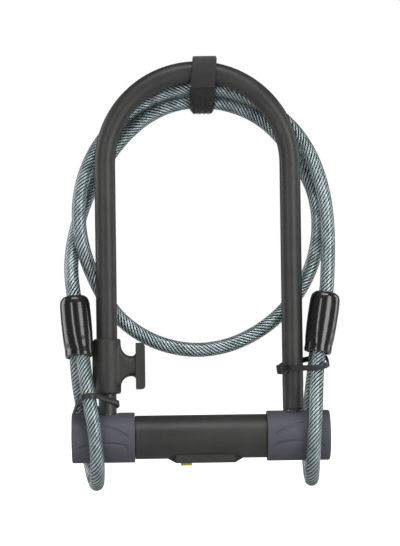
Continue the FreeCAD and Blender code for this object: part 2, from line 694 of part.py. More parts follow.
def deadbolt(label, placement=None):
    """Flat bolt with a yoke that one cam pin drives, drawn back; the other bolt is the same,
    turned half round."""
    body = new_body(label)
    face = sketch_on(body, "XY_Plane", "Sizes.bolt_base")
    half = "Sizes.bolt_width / 2"
    slot_right = "-" + PIN_SHIFT + " + Sizes.cam_pin_dia / 2 + Sizes.cam_pin_play"
    slot_left = "-" + PIN_SHIFT + " - Sizes.cam_pin_dia / 2 - Sizes.cam_pin_play"
    tail = slot_left + " - Sizes.yoke_wall"
    outline(face, [
        ("Sizes.bolt_tip - 1", "-" + half),
        ("Sizes.bolt_tip", "1 - " + half),
        ("Sizes.bolt_tip", half + " - 1"),
        ("Sizes.bolt_tip - 1", half),
        ("Sizes.bolt_shoulder + 2", half),
        ("Sizes.bolt_shoulder", "Sizes.yoke_out"),
        (tail, "Sizes.yoke_out"),
        (tail, "Sizes.yoke_in"),
        (slot_left, "Sizes.yoke_in"),
        (slot_left, "Sizes.yoke_slot_end"),
        (slot_right, "Sizes.yoke_slot_end"),
        (slot_right, "Sizes.yoke_in"),
        ("Sizes.bolt_shoulder", "Sizes.yoke_in"),
        ("Sizes.bolt_shoulder", "-" + half),
    ])
    pad(body, face, "Sizes.bolt_height")
    keep(body, label, placement)


# ---------------------------------------------------------------- keyway shroud and dust cover

def keyway_shroud():
    """Saddle under the bar with a cavity for the sliding cover and a window for its tab."""
    body = new_body("keyway_shroud")
    plan = sketch_on(body, "XY_Plane", "Sizes.shroud_bottom")
    shroud_plan(plan)
    pad(body, plan, "10")
    ends = sketch_on(body, "XZ_Plane")
    for tip, flat, out in (("Sizes.shroud_left", "Sizes.shroud_flat_left", "- 1"),
                           ("Sizes.shroud_right", "Sizes.shroud_flat_right", "+ 1")):
        low = "Sizes.shroud_bottom - 1"
        outline(ends, [(flat, "Sizes.shroud_bottom"), (f"{tip} {out}", f"Sizes.shroud_tip_z + 0.5"),
                       (f"{tip} {out}", low), (flat, low)])
    pocket(body, ends, symmetric=True)
    saddle = sketch_on(body, "YZ_Plane")
    circle(saddle, "Sizes.tube_od / 2 + Sizes.skin_gap")
    pocket(body, saddle, symmetric=True)
    cavity = sketch_on(body, "XY_Plane", "Sizes.cavity_floor")
    rectangle(cavity, "Sizes.cavity_left", "-Sizes.cavity_half", "Sizes.cavity_right", "Sizes.cavity_half")
    pocket(body, cavity, forward=True)
    window = sketch_on(body, "XY_Plane", "Sizes.cavity_floor")
    rectangle(window, "Sizes.cavity_left + 0.1", "-Sizes.window_half", "Sizes.window_right",
              "Sizes.window_half")
    pocket(body, window)
    housing = sketch_on(body, "XY_Plane", "Sizes.housing_base - Sizes.skin_gap")
    circle(housing, "Sizes.housing_od / 2 + Sizes.skin_gap")
    pocket(body, housing, forward=True)
    seats = sketch_on(body, "XY_Plane", "Sizes.shroud_screw_seat")
    holes = sketch_on(body, "XY_Plane", "Sizes.shroud_screw_seat")
    for y in ("Sizes.shroud_screw_y", "-Sizes.shroud_screw_y"):
        circle(seats, "Sizes.shroud_screw_head / 2 + 0.1", x="Sizes.shroud_screw_x", y=y)
        circle(holes, "Sizes.shroud_screw_dia / 2 + 0.1", x="Sizes.shroud_screw_x", y=y)
    pocket(body, seats)
    pocket(body, holes, forward=True)
    keep(body, "keyway_shroud")


def shutter_guide():
    """Plate over the cover's track; the key passes through its round opening."""
    body = new_body("shutter_guide")
    plate = sketch_on(body, "XY_Plane", "Sizes.guide_plate_base")
    rectangle(plate, "Sizes.cavity_left + 0.05", "0.05 - Sizes.cavity_half", "Sizes.cavity_right - 0.05",
              "Sizes.cavity_half - 0.05")
    pad(body, plate, "6")
    saddle = sketch_on(body, "YZ_Plane")
    circle(saddle, "Sizes.tube_od / 2 + Sizes.skin_gap")
    pocket(body, saddle, symmetric=True)
    housing = sketch_on(body, "XY_Plane", "Sizes.housing_base - Sizes.skin_gap")
    circle(housing, "Sizes.housing_od / 2 + Sizes.skin_gap")
    pocket(body, housing, forward=True)
    keyhole = sketch_on(body, "XY_Plane")
    circle(keyhole, "Sizes.keyhole_dia / 2")
    pocket(body, keyhole)
    keep(body, "shutter_guide")


def dust_cover():
    """Slab that slides over the keyhole, with a ribbed finger tab below the shroud."""
    body = new_body("dust_cover")
    slab = sketch_on(body, "XY_Plane", "Sizes.shutter_base")
    rectangle(slab, "Sizes.shutter_left", "-Sizes.shutter_half", "Sizes.shutter_right", "Sizes.shutter_half")
    pad(body, slab, "Sizes.shutter_thick")
    tab = sketch_on(body, "XY_Plane", "Sizes.tab_bottom")
    rectangle(tab, "Sizes.tab_left", "-Sizes.tab_half", "Sizes.tab_left + Sizes.tab_length", "Sizes.tab_half")
    block = pad(body, tab, "Sizes.shutter_base - Sizes.tab_bottom")
    grooves = sketch_on(body, "XZ_Plane")
    for step in range(1, 4):
        middle = f"Sizes.tab_left + {step} * Sizes.tab_length / 4"
        rectangle(grooves, middle + " - 0.35", "Sizes.tab_bottom - 0.5", middle + " + 0.35",
                  "Sizes.tab_bottom + 0.5")
    pocket(body, grooves, symmetric=True)
    keep(body, "dust_cover")


def shroud_screws():
    screws = []
    for name, y in (("shroud_screw_a", "-Sizes.shroud_screw_y"), ("shroud_screw_b", "Sizes.shroud_screw_y")):
        head = cylinder(name + "_head", "Sizes.shroud_screw_head / 2", "1.1",
                        x="Sizes.shroud_screw_x", y=y, z="Sizes.shroud_screw_seat - 1.1")
        shank = cylinder(name + "_shank", "Sizes.shroud_screw_dia / 2", "4.6",
                         x="Sizes.shroud_screw_x", y=y, z="Sizes.shroud_screw_seat")
        screw = doc.addObject("Part::Fuse", name)
        screw.Base = head
        screw.Tool = shank
        screws.append(screw)
    keep(compound("shroud_screws", screws), "shroud_screws")


# ---------------------------------------------------------------- shackle

def shackle_path(body, left_end, right_end):
    """Up the left leg, over the arch and down the right leg, as an open sketch."""
    path = sketch_on(body, "XZ_Plane")
    outline(path, [
        ("-" + LEG_X, left_end),
        ("-" + LEG_X, "Sizes.arch_height"),
        ("0", "Sizes.arch_height + " + LEG_X, LEG_X, False),
        (LEG_X, "Sizes.arch_height", LEG_X, False),
        (LEG_X, right_end),
    ], closed=False)
    return path


def shackle_pipe(body, path, profile):
    pipe = body.newObject("PartDesign::AdditivePipe", body.Name + "_pipe")
    pipe.Profile = profile
    pipe.Spine = (path, ["Edge1", "Edge2", "Edge3", "Edge4"])
    return pipe


def shackle_bar():
    body = new_body("shackle_bar")
    path = shackle_path(body, "-Sizes.leg_end", "-Sizes.leg_end")
    profile = sketch_on(body, "XY_Plane", "-Sizes.leg_end")
    circle(profile, BAR_R, x="-" + LEG_X)
    pipe = shackle_pipe(body, path, profile)
    end = -size("leg_end")
    dress(body, "Chamfer", pipe, lambda edge: is_round(edge, number(BAR_R), "z", end),
          "Sizes.leg_chamfer")
    notches = sketch_on(body, "XZ_Plane")
    for side in ("-", ""):
        inner = side + "(" + LEG_X + " - " + BAR_R + " - 1)"
        floor = side + "(" + LEG_X + " - " + BAR_R + " + Sizes.notch_depth)"
        rectangle(notches, inner, "Sizes.notch_low", floor, "Sizes.notch_high")
    pocket(body, notches, symmetric=True)
    keep(body, "shackle_bar")


def shackle_coating():
    body = new_body("shackle_coating")
    path = shackle_path(body, "Sizes.coat_left", "Sizes.coat_right")
    profile = sketch_on(body, "XY_Plane", "Sizes.coat_left")
    circle(profile, COAT_R, x="-" + LEG_X)
    circle(profile, BAR_R + " + Sizes.skin_gap", x="-" + LEG_X)
    shackle_pipe(body, path, profile)
    keep(body, "shackle_coating")


# ---------------------------------------------------------------- carrier bracket

def bracket_liner():
    body = new_body("bracket_liner")
    ring = sketch_on(body, "XY_Plane", "Sizes.coat_left + 0.5")
    circle(ring, LINER_R, x="-" + LEG_X)
    circle(ring, COAT_R + " + Sizes.skin_gap", x="-" + LEG_X)
    pad(body, ring, "Sizes.clamp_high - Sizes.coat_left - 1.5")
    keep(body, "bracket_liner")


def half_collar(body, side):
    """Half ring and half hook ear; side is - for the front half and + for the rear one."""
    face = sketch_on(body, "XY_Plane", "Sizes.clamp_low")
    gap = f"{side} Sizes.split_gap / 2"
    inner = "(" + LINER_R + " + Sizes.skin_gap)"
    turns_left = side == "-"
    inner_x = f"sqrt({inner} ^ 2 - Sizes.split_gap ^ 2 / 4)"
    outer_x = "sqrt(Sizes.collar_radius ^ 2 - Sizes.split_gap ^ 2 / 4)"
    middle = "-" + LEG_X
    outline(face, [
        (f"{middle} - {outer_x}", gap),
        (f"{middle}", f"{side} Sizes.collar_radius", "Sizes.collar_radius", turns_left),
        (f"{middle} + {outer_x}", gap, "Sizes.collar_radius", turns_left),
        (f"{middle} + {inner_x}", gap),
        (f"{middle}", f"{side} {inner}", inner, not turns_left),
        (f"{middle} - {inner_x}", gap, inner, not turns_left),
    ])
    pad(body, face, "Sizes.clamp_high - Sizes.clamp_low")
    ear = sketch_on(body, "XY_Plane", "Sizes.clamp_low + Sizes.ear_inset")
    far = f"{side} Sizes.ear_half"
    near, out = (gap, far) if side == "+" else (far, gap)
    rectangle(ear, f"{middle} - Sizes.ear_reach", near, f"{middle} - {inner_x} - 0.4", out)
    pad(body, ear, "Sizes.clamp_high - Sizes.clamp_low - 2 * Sizes.ear_inset")


def neck_outline(sketch, right_end, with_tongue):
    """Neck with its two round pockets; the tongue's upright closes it on the front half."""
    middle = "-" + LEG_X
    root = f"{middle} + Sizes.collar_radius - Sizes.neck_root"
    wall = f"{middle} + Sizes.collar_radius - 0.2"
    big_x = f"{wall} + Sizes.pocket_big"
    big_z = "Sizes.neck_half + Sizes.pocket_big"
    small_x = f"{middle} + Sizes.tongue_inner - Sizes.pocket_small"
    small_z = "Sizes.neck_half + Sizes.pocket_small"

    def above(expression):
        return f"{CLAMP_MID} + ({expression})"

    def below(expression):
        return f"{CLAMP_MID} - ({expression})"

    corners = [
        (root, below(big_z)),
        (wall, below(big_z)),
        (big_x, below("Sizes.neck_half"), "Sizes.pocket_big", False),
    ]
    if with_tongue:
        inner = f"{middle} + Sizes.tongue_inner"
        corners += [
            (small_x, below("Sizes.neck_half")),
            (inner, below(small_z), "Sizes.pocket_small", False),
            (inner, below("Sizes.tongue_half")),
            (f"{inner} + 0.5", below("Sizes.tongue_half")),
            (f"{inner} + 0.5", above("Sizes.tongue_half")),
            (inner, above("Sizes.tongue_half")),
            (inner, above(small_z)),
            (small_x, above("Sizes.neck_half"), "Sizes.pocket_small", False),
        ]
    else:
        corners += [(right_end, below("Sizes.neck_half")), (right_end, above("Sizes.neck_half"))]
    corners += [
        (big_x, above("Sizes.neck_half")),
        (wall, above(big_z), "Sizes.pocket_big", False),
        (root, above(big_z)),
    ]
    outline(sketch, corners)


def clear_bore(body):
    """Open the collar's bore again where the neck's root runs into it."""
    bore = sketch_on(body, "XY_Plane", "Sizes.clamp_low")
    circle(bore, LINER_R + " + Sizes.skin_gap", x="-" + LEG_X)
    pocket(body, bore, "Sizes.clamp_high - Sizes.clamp_low", forward=True)


def clamp_screw_circles(sketch, radius):
    for side in ("+", "-"):
        circle(sketch, radius, x=f"-{LEG_X} + Sizes.clamp_screw_x",
               y=f"{CLAMP_MID} {side} Sizes.clamp_screw_z")


def bracket_front():
    """Front clamp half with the neck and the T-shaped tongue that a carrier grips."""
    body = new_body("bracket_front")
    half_collar(body, "-")
    neck = sketch_on(body, "XZ_Plane", "Sizes.split_gap / 2")
    neck_outline(neck, "0", True)
    pad(body, neck, "Sizes.neck_half_depth - Sizes.split_gap / 2")
    clear_bore(body)
    tongue = sketch_on(body, "XZ_Plane")
    inner = f"-{LEG_X} + Sizes.tongue_inner"
    outer = f"-{LEG_X} + Sizes.tongue_outer"
    low = f"{CLAMP_MID} - Sizes.tongue_half"
    high = f"{CLAMP_MID} + Sizes.tongue_half"
    outline(tongue, [
        (inner, low),
        (f"{outer} - Sizes.tongue_round", low),
        (outer, f"{low} + Sizes.tongue_round", "Sizes.tongue_round", True),
        (outer, f"{high} - Sizes.tongue_round"),
        (f"{outer} - Sizes.tongue_round", high, "Sizes.tongue_round", True),
        (inner, high),
    ])
    pad(body, tongue, "2 * Sizes.tongue_half_depth", symmetric=True)
    holes = sketch_on(body, "XZ_Plane")
    clamp_screw_circles(holes, "Sizes.clamp_screw_dia / 2")
    pocket(body, holes, "Sizes.clamp_screw_tip + 0.2", forward=True)
    keep(body, "bracket_front")


def bracket_rear():
    body = new_body("bracket_rear")
    half_collar(body, "+")
    neck = sketch_on(body, "XZ_Plane", "-Sizes.neck_half_depth")
    neck_outline(neck, f"-{LEG_X} + Sizes.tongue_inner - 0.2", False)
    pad(body, neck, "Sizes.neck_half_depth - Sizes.split_gap / 2")
    clear_bore(body)
    holes = sketch_on(body, "XZ_Plane")
    clamp_screw_circles(holes, "Sizes.clamp_screw_dia / 2 + 0.1")
    pocket(body, holes)
    seats = sketch_on(body, "XZ_Plane", "-Sizes.clamp_screw_seat")
    clamp_screw_circles(seats, "Sizes.clamp_screw_head / 2 + 0.1")
    pocket(body, seats)
    keep(body, "bracket_rear")


def bracket_screws():
    screws = []
    for name, side in (("clamp_screw_low", "-"), ("clamp_screw_high", "+")):
        place = {"x": f"-{LEG_X} + Sizes.clamp_screw_x", "z": f"{CLAMP_MID} {side} Sizes.clamp_screw_z"}
        head = cylinder(name + "_head", "Sizes.clamp_screw_head / 2", "2.5",
                        y="Sizes.clamp_screw_seat", rotation=ALONG_Y, **place)
        shank = cylinder(name + "_shank", "Sizes.clamp_screw_dia / 2",
                         "Sizes.clamp_screw_seat + Sizes.clamp_screw_tip",
                         y="-Sizes.clamp_screw_tip", rotation=ALONG_Y, **place)
        socket = doc.addObject("Part::Prism", name + "_socket")
        socket.Polygon = 6
        socket.Circumradius = 1.4
        socket.Height = 2.0
        socket.Placement = Placement(Vector(0, 0, 0), ALONG_Y)
        socket.setExpression("Placement.Base.x", place["x"])
        socket.setExpression("Placement.Base.y", "Sizes.clamp_screw_seat + 1.2")
        socket.setExpression("Placement.Base.z", place["z"])
        blank = doc.addObject("Part::Fuse", name + "_blank")
        blank.Base = head
        blank.Tool = shank
        screws.append(cut(name, blank, socket))
    keep(compound("bracket_screws", screws), "bracket_screws")


# ---------------------------------------------------------------- belts around round things

def belt_wire(circles, grow):
    """Closed line pulled tight round circles (x, y, radius), listed counter-clockwise, as lines
    and arcs, at a distance grow from them."""
    tangents = []
    for index, (x, y, radius) in enumerate(circles):
        next_x, next_y, next_radius = circles[(index + 1) % len(circles)]
        along = Vector(next_x - x, next_y - y, 0)
        sine = (radius - next_radius) / along.Length
        along.normalize()
        out = Vector(along.y, -along.x, 0)
        normal = along * sine + out * math.sqrt(1 - sine * sine)
        leave = Vector(x, y, 0) + normal * (radius + grow)
        arrive = Vector(next_x, next_y, 0) + normal * (next_radius + grow)
        tangents.append((leave, arrive, normal))
    edges = []
    for index, (leave, arrive, normal) in enumerate(tangents):
        x, y, radius = circles[(index + 1) % len(circles)]
        next_leave, _, next_normal = tangents[(index + 1) % len(circles)]
        edges.append(Part.makeLine(leave, arrive))
        half = normal + next_normal
        if half.Length < 0.001:
            half = Vector(-normal.y, normal.x, 0)
        half.normalize()
        top = Vector(x, y, 0) + half * (radius + grow)
        edges.append(Part.Arc(arrive, top, next_leave).toShape())
    return Part.Wire(edges)


def belt(circles, gap, thickness, height):
    """Band of a height along z, standing off the circles by a gap."""
    outer = Part.Face(belt_wire(circles, gap + thickness)).extrude(Vector(0, 0, height))
    inner = Part.Face(belt_wire(circles, gap)).extrude(Vector(0, 0, height))
    return outer.cut(inner)


# ---------------------------------------------------------------- loop cable

# Foot and head of each boot's centre line, where the cable is crimped to itself, and the
# direction in which the two loop ends stand side by side.
BOOTS = {
    "left": (Vector(-83.7, -9.5, 56.7), Vector(-87.3, -2.0, 98.6), Vector(0.4, -0.92, 0)),
    "right": (Vector(82.1, -3.0, 57.6), Vector(89.0, 2.0, 98.5), Vector(0.1, -1.0, 0)),
}

# Each eye's way down in front of the end cap, under it and up behind it.
EYES = {
    "left": ((-79.3, -20.0, 40), (-76.3, -23.0, 22), (-73.7, -23.4, 4), (-72.1, -20.6, -15.5),
             (-72.2, -12.0, -27.3), (-73.2, 0, -31.9), (-75.3, 12.0, -28.3), (-77.8, 20.6, -17),
             (-80.0, 23.8, -1), (-82.0, 19.2, 17), (-84.4, 6.6, 35)),
    "right": ((80.4, -15.0, 41), (79.2, -21.5, 21), (77.9, -23.4, 2), (77.1, -20.4, -14.5),
              (76.8, -12.0, -26.2), (76.9, 0, -30.6), (76.8, 12.0, -26.6), (76.6, 20.6, -15),
              (76.9, 23.4, 2), (78.0, 20.5, 21), (80.2, 11.2, 42.3)),
}

# The coil's way from the left boot, one and a half turns behind the shackle, to the right boot.
COIL = (
    (-88.4, 0.6, 107.5), (-89, 11, 125), (-61.5, 18.5, 199), (-50, 18, 211.5),
    (-20, 14.5, 231.5), (48, 20, 221.5), (71.5, 18.5, 193.5), (80.5, 16.5, 176),
    (76, 13, 110), (0.5, 13, 60.5), (-56.5, 13.5, 84.5), (-73, 10.5, 111),
    (-82, 5.5, 139), (-74.5, 12.5, 195.5), (-33, 13, 237), (-10.5, 8, 244),
    (31, 11, 240), (69.5, 12, 213.5), (89, 6.5, 166), (90.5, 4, 115),
)

# Boot stations: height, half width along the pair of loop ends, half width across it.
BOOT_STATIONS = (
    (0.0, 11.8, 9.3), (5.0, 11.6, 9.5), (14.0, 11.0, 10.4), (26.0, 10.7, 10.6),
    (37.0, 10.5, 10.5), (40.5, 9.6, 9.6), (42.3, 7.6, 7.6), (43.0, 5.9, 5.9),
)


def boot_frame(side):
    """Foot, head, upward direction and pair direction of a boot."""
    foot, head, across = BOOTS[side]
    up = (head - foot).normalize()
    pair = (across - up * across.dot(up)).normalize()
    return foot, head, up, pair


def boot_placement(side):
    foot, _, up, pair = boot_frame(side)
    third = up.cross(pair)
    matrix = FreeCAD.Matrix(
        pair.x, third.x, up.x, foot.x,
        pair.y, third.y, up.y, foot.y,
        pair.z, third.z, up.z, foot.z,
        0, 0, 0, 1)
    return Placement(matrix)


def smooth_curve(points):
    curve = Part.BSplineCurve()
    curve.interpolate(points)
    return curve


def rod_along(edge, radius):
    """Round bar swept along one curved edge."""
    start = edge.valueAt(edge.FirstParameter)
    tangent = edge.tangentAt(edge.FirstParameter)
    ring = Part.Wire(Part.Circle(start, tangent, radius).toShape())
    return Part.Wire(edge).makePipeShell([ring], True, True)


def tube_along(edge, radius, bore):
    """Round tube along one curved edge: two skins closed by a flat ring at each end."""
    start = edge.valueAt(edge.FirstParameter)
    skins = []
    lids = []
    for skin_radius in (radius, bore):
        faces = sorted(rod_along(edge, skin_radius).Faces, key=lambda face: face.Area)
        skins.append(faces[-1])
        lids.append(sorted(faces[:2], key=lambda face: (face.CenterOfMass - start).Length))
    for outer, inner in zip(*lids):
        skins.append(Part.makeFace([outer.OuterWire, inner.OuterWire], "Part::FaceMakerBullseye"))
    shell = Part.Shell(skins)
    shell.sewShape()
    solid = Part.Solid(Part.Shell(shell.Faces))
    if solid.Volume < 0:
        solid.reverse()
    return solid


def stretch(curve, first, last):
    """Edge of the curve between two parameters."""
    piece = curve.copy()
    piece.segment(first, last)
    return piece.toShape()


def tip(curve, at_start, reach):
    """The first or last stretch of a curve, reach long."""
    first, last = curve.FirstParameter, curve.LastParameter
    if at_start:
        return stretch(curve, first, curve.parameterAtDistance(reach, first))
    return stretch(curve, curve.parameterAtDistance(-reach, last), last)


def eye_curve(side):
    """Loop round the crossbar; both ends stand in the ferrule's lower sockets."""
    foot, _, up, pair = boot_frame(side)
    base = foot + up * size("ferrule_lift")
    top = base + up * (size("loop_socket") - 1)
    mouth = foot + up
    offset = size("rope_offset")
    spread = size("cable_od") / 2 + size("loop_play")
    points = [top + pair * offset, base + pair * offset, mouth + pair * spread]
    points += [Vector(*point) for point in EYES[side]]
    points += [mouth - pair * spread, base - pair * offset, top - pair * offset]
    stop = base - up * size("jacket_stop")
    return smooth_curve(points), stop + pair * offset, stop - pair * offset


def coil_curve():
    """Coil behind the shackle; each end stands in the upper socket of a ferrule."""
    ends = {}
    for side in ("left", "right"):
        foot, head, up, _ = boot_frame(side)
        rise = size("ferrule_lift") + size("ferrule_length")
        ends[side] = (foot + up * (rise - size("coil_socket") + 1), foot + up * (rise + size("jacket_stop")), head + up)
    points = list(ends["left"][::2])
    points += [Vector(*point) for point in COIL]
    points += list(ends["right"][::-2])
    return smooth_curve(points), ends["left"][1], ends["right"][1]


def cable_pieces(name, curve, jacket_start, jacket_end):
    """Steel rope along the whole curve and its clear jacket between two points."""
    rope = rod_along(curve.toShape(), size("rope_dia") / 2)
    jacket_edge = stretch(curve, curve.parameter(jacket_start), curve.parameter(jacket_end))
    bore = size("rope_dia") / 2 + size("jacket_gap")
    jacket = tube_along(jacket_edge, size("cable_od") / 2, bore)
    keep(solid_feature(name + "_rope", rope), name + "_rope")
    keep(solid_feature(name + "_jacket", jacket), name + "_jacket")


def ferrule(side, eye, coil):
    """Crimped oval sleeve; the loop's ends enter from below and the coil's end from above."""
    offset = size("rope_offset")
    radius = size("ferrule_radius")
    wire = belt_wire([(-offset, 0, radius), (offset, 0, radius)], 0)
    block = Part.Face(wire).extrude(Vector(0, 0, size("ferrule_length")))
    block.translate(Vector(0, 0, size("ferrule_lift")))
    block.Placement = boot_placement(side).multiply(block.Placement)
    reach = size("ferrule_length")
    for edge in (tip(eye, True, reach), tip(eye, False, reach), tip(coil, side == "left", reach)):
        block = block.cut(rod_along(edge, size("rope_dia") / 2 + size("skin_gap")))
    keep(solid_feature("ferrule_" + side, block), "ferrule_" + side)


def boot_form(inset, floor, top):
    """Loft through the boot's stations, drawn in by an inset, between two heights."""
    rings = []
    for height, along, across in BOOT_STATIONS:
        level = floor if height == 0 else min(height, top - (43.0 - height) * 0.4)
        scale = FreeCAD.Matrix()
        scale.scale(along - inset, across - inset, 1)
        ring = Part.Circle(Vector(0, 0, 0), Vector(0, 0, 1), 1).toShape().transformGeometry(scale)
        ring.translate(Vector(0, 0, level))
        rings.append(Part.Wire(ring))
    return Part.makeLoft(rings, True, True)


def boot(side):
    """Glossy vinyl boot over the ferrule: oval mouth below, round hole for the coil on top."""
    shell = boot_form(0, 0, 43.0).cut(boot_form(size("boot_wall"), -1, 43.0 - size("boot_wall")))
    shell = shell.cut(Part.makeCylinder(size("cable_od") / 2 + size("boot_play"), 20, Vector(0, 0, 30)))
    keep(solid_feature("boot_" + side, shell), "boot_" + side, boot_placement(side))


# ---------------------------------------------------------------- strap and cable ties

def hook_strap():
    """Hook-and-loop strap that holds the coil up against the arch."""
    rise = size("strap_rise")
    arch_top = (0, number("Sizes.arch_height + " + LEG_X) + rise, number(COAT_R) + rise)
    lower_strand = (size("strand_y"), size("strand_z"), size("cable_od") / 2 + size("strand_drift"))
    band = belt([lower_strand, arch_top], size("strap_gap"), size("strap_thick"), size("strap_width"))
    band.rotate(Vector(0, 0, 0), Vector(1, 1, 1), 120)
    band.translate(Vector(size("strap_x") - size("strap_width") / 2, 0, 0))
    keep(solid_feature("hook_strap", band), "hook_strap")


# Height of each tie's plane over x and y (level, slope along x, slope along y), the bar it
# holds, and its head: centre and outward direction.
TIES = {
    "left": ((29.2, 0.098, -0.29), BAR_R, (-69.5, 12.8), (0.59, 0.81)),
    "right": ((39.9, 0.14, 0.2), COAT_R, (56.6, -7.5), (-0.74, -0.68)),
}


def crossings(curve, plane):
    """Where a curve passes a tie's plane, with the radius a level ring needs there."""
    level, slope_x, slope_y = plane
    found = []
    previous = None
    samples = 400
    for step in range(samples + 1):
        share = step / samples
        parameter = curve.FirstParameter + share * (curve.LastParameter - curve.FirstParameter)
        point = curve.value(parameter)
        over = point.z - (level + slope_x * point.x + slope_y * point.y)
        if previous is not None and over * previous < 0:
            tangent = curve.tangent(parameter)[0]
            lean = math.acos(min(abs(tangent.z), 1))
            radius = size("cable_od") / 2 / math.cos(lean) + size("tie_width") / 2 * math.tan(lean)
            found.append((point.x, point.y, radius))
        previous = over
    return found


def cable_tie(side, eye):
    """Nylon tie round a leg and both strands of the eye, with its square head and cut tail."""
    plane, leg_radius, head, out = TIES[side]
    level, slope_x, slope_y = plane
    front, rear = crossings(eye, plane)
    leg_x = number(LEG_X) * (-1 if side == "left" else 1)
    leg = (leg_x, 0, number(leg_radius))
    order = [leg, rear, front] if side == "left" else [leg, front, rear]
    tall = belt(order, size("tie_slack"), size("tie_thick"), 100)
    normal = Vector(-slope_x, -slope_y, 1).normalize()
    slab = Part.makeBox(200, 200, size("tie_width"), Vector(-100, -100, -size("tie_width") / 2))
    slab.Placement = Placement(Vector(leg_x, 0, level + slope_x * leg_x), Rotation(Vector(0, 0, 1), normal))
    band = tall.common(slab)
    head_z = level + slope_x * head[0] + slope_y * head[1]
    outward = Vector(out[0], out[1], 0)
    outward = (outward - normal * outward.dot(normal)).normalize()
    sideways = normal.cross(outward)
    matrix = FreeCAD.Matrix(
        outward.x, sideways.x, normal.x, head[0],
        outward.y, sideways.y, normal.y, head[1],
        outward.z, sideways.z, normal.z, head_z,
        0, 0, 0, 1)
    depth, length, height = (size("tie_head_" + way) for way in ("depth", "length", "height"))
    block = Part.makeBox(depth, length, height, Vector(-size("tie_head_inner"), -length / 2, -height / 2))
    tail_corner = Vector(0.4, 0, -size("tie_width") / 2)
    tail = Part.makeBox(size("tie_thick"), size("tie_tail"), size("tie_width"), tail_corner)
    block = block.fuse(tail)
    block.Placement = Placement(matrix)
    keep(solid_feature("cable_tie_" + side, band.fuse(block).removeSplitter()), "cable_tie_" + side)


def cable_set():
    coil, coil_left, coil_right = coil_curve()
    cable_pieces("coil", coil, coil_left, coil_right)
    for side in ("left", "right"):
        eye, eye_front, eye_rear = eye_curve(side)
        cable_pieces("eye_" + side, eye, eye_front, eye_rear)
        ferrule(side, eye, coil)
        boot(side)
        cable_tie(side, eye)
    hook_strap()


for build in (crossbar_tube, crossbar_sleeve):
    build()
for side, placement in (("right", None), ("left", Placement(Vector(0, 0, 0), HALF_TURN))):
    end_cap("end_cap_" + side, placement)
    end_block("end_block_" + side, placement)
    leg_seal("leg_seal_" + side, placement)
    bolt_guide("bolt_guide_" + side, placement)
    deadbolt("deadbolt_" + side, placement)
for build in (block_pins, cylinder_housing, cylinder_pin, cylinder_core, drill_guard, disc_stack,
              sidebar, bolt_cam, cam_pins, cam_screw, keyway_shroud, shutter_guide, dust_cover,
              shroud_screws, shackle_bar, shackle_coating, bracket_liner, bracket_front,
              bracket_rear, bracket_screws, cable_set):
    build()

doc.recompute()

problems = []
for item in doc.Objects:
    if {"Invalid", "Error"} & set(item.State):
        problems.append(f"{item.Name}: {item.State}")
    elif item.TypeId == "PartDesign::Pocket":
        if item.Shape.Volume > item.BaseFeature.Shape.Volume - 0.001:
            problems.append(f"{item.Name} cuts nothing")
for piece in pieces:
    if piece.Shape.isNull() or not piece.Shape.isValid():
        problems.append(f"{piece.Label}: shape is null or not valid")
if problems:
    raise RuntimeError("\n".join(problems))

os.makedirs("parts", exist_ok=True)
for piece in pieces:
    piece.Shape.exportStep(f"parts/{piece.Label}.step")
print(f"{len(pieces)} sub-parts written")
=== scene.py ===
import json
import math
import random

import bpy
import bmesh
import numpy as np
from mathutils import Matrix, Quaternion, Vector


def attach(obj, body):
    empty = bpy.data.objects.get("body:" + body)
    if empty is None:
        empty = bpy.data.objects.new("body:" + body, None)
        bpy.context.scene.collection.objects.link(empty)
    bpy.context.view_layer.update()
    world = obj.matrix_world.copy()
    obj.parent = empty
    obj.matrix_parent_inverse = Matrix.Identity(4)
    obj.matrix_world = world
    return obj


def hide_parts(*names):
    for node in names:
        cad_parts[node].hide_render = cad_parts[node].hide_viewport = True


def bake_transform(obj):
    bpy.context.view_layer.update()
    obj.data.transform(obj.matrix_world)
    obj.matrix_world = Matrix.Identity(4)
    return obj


# Looks for the u lock.  The frame is in metres with the origin on the crossbar's axis at
# mid-length, +X to the right, +Z up to the arch and the front towards -Y.  Lengths below are
# written in millimetres and turned into metres when a mesh is made.

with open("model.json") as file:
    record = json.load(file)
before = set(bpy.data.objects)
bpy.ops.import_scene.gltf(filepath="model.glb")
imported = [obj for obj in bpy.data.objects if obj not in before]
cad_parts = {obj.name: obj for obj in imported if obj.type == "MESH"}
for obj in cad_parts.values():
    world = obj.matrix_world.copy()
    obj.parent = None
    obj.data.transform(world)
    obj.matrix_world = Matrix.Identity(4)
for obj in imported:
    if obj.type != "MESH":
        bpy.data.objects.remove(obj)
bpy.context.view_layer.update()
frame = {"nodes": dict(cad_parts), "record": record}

MM = 0.001
LEG_X = 64.8
ARCH_Z = 190.6
BAR_R = 6.3
COAT_R = 7.3
CABLE_R = 5.0
CAP_R = 17.5
SLEEVE_R = 15.2

scene = bpy.context.scene
random.seed(7)


# ---------------------------------------------------------------- mesh helpers

def as_object(name, mesh, sharp=35.0):
    """Link a mesh with outward normals, smooth apart from edges sharper than an angle."""
    tidy = bmesh.new()
    tidy.from_mesh(mesh)
    bmesh.ops.remove_doubles(tidy, verts=tidy.verts, dist=1e-7)
    bmesh.ops.recalc_face_normals(tidy, faces=tidy.faces)
    tidy.to_mesh(mesh)
    tidy.free()
    mesh.polygons.foreach_set("use_smooth", [True] * len(mesh.polygons))
    mesh.set_sharp_from_angle(angle=math.radians(sharp))
    item = bpy.data.objects.new(name, mesh)
    scene.collection.objects.link(item)
    return item


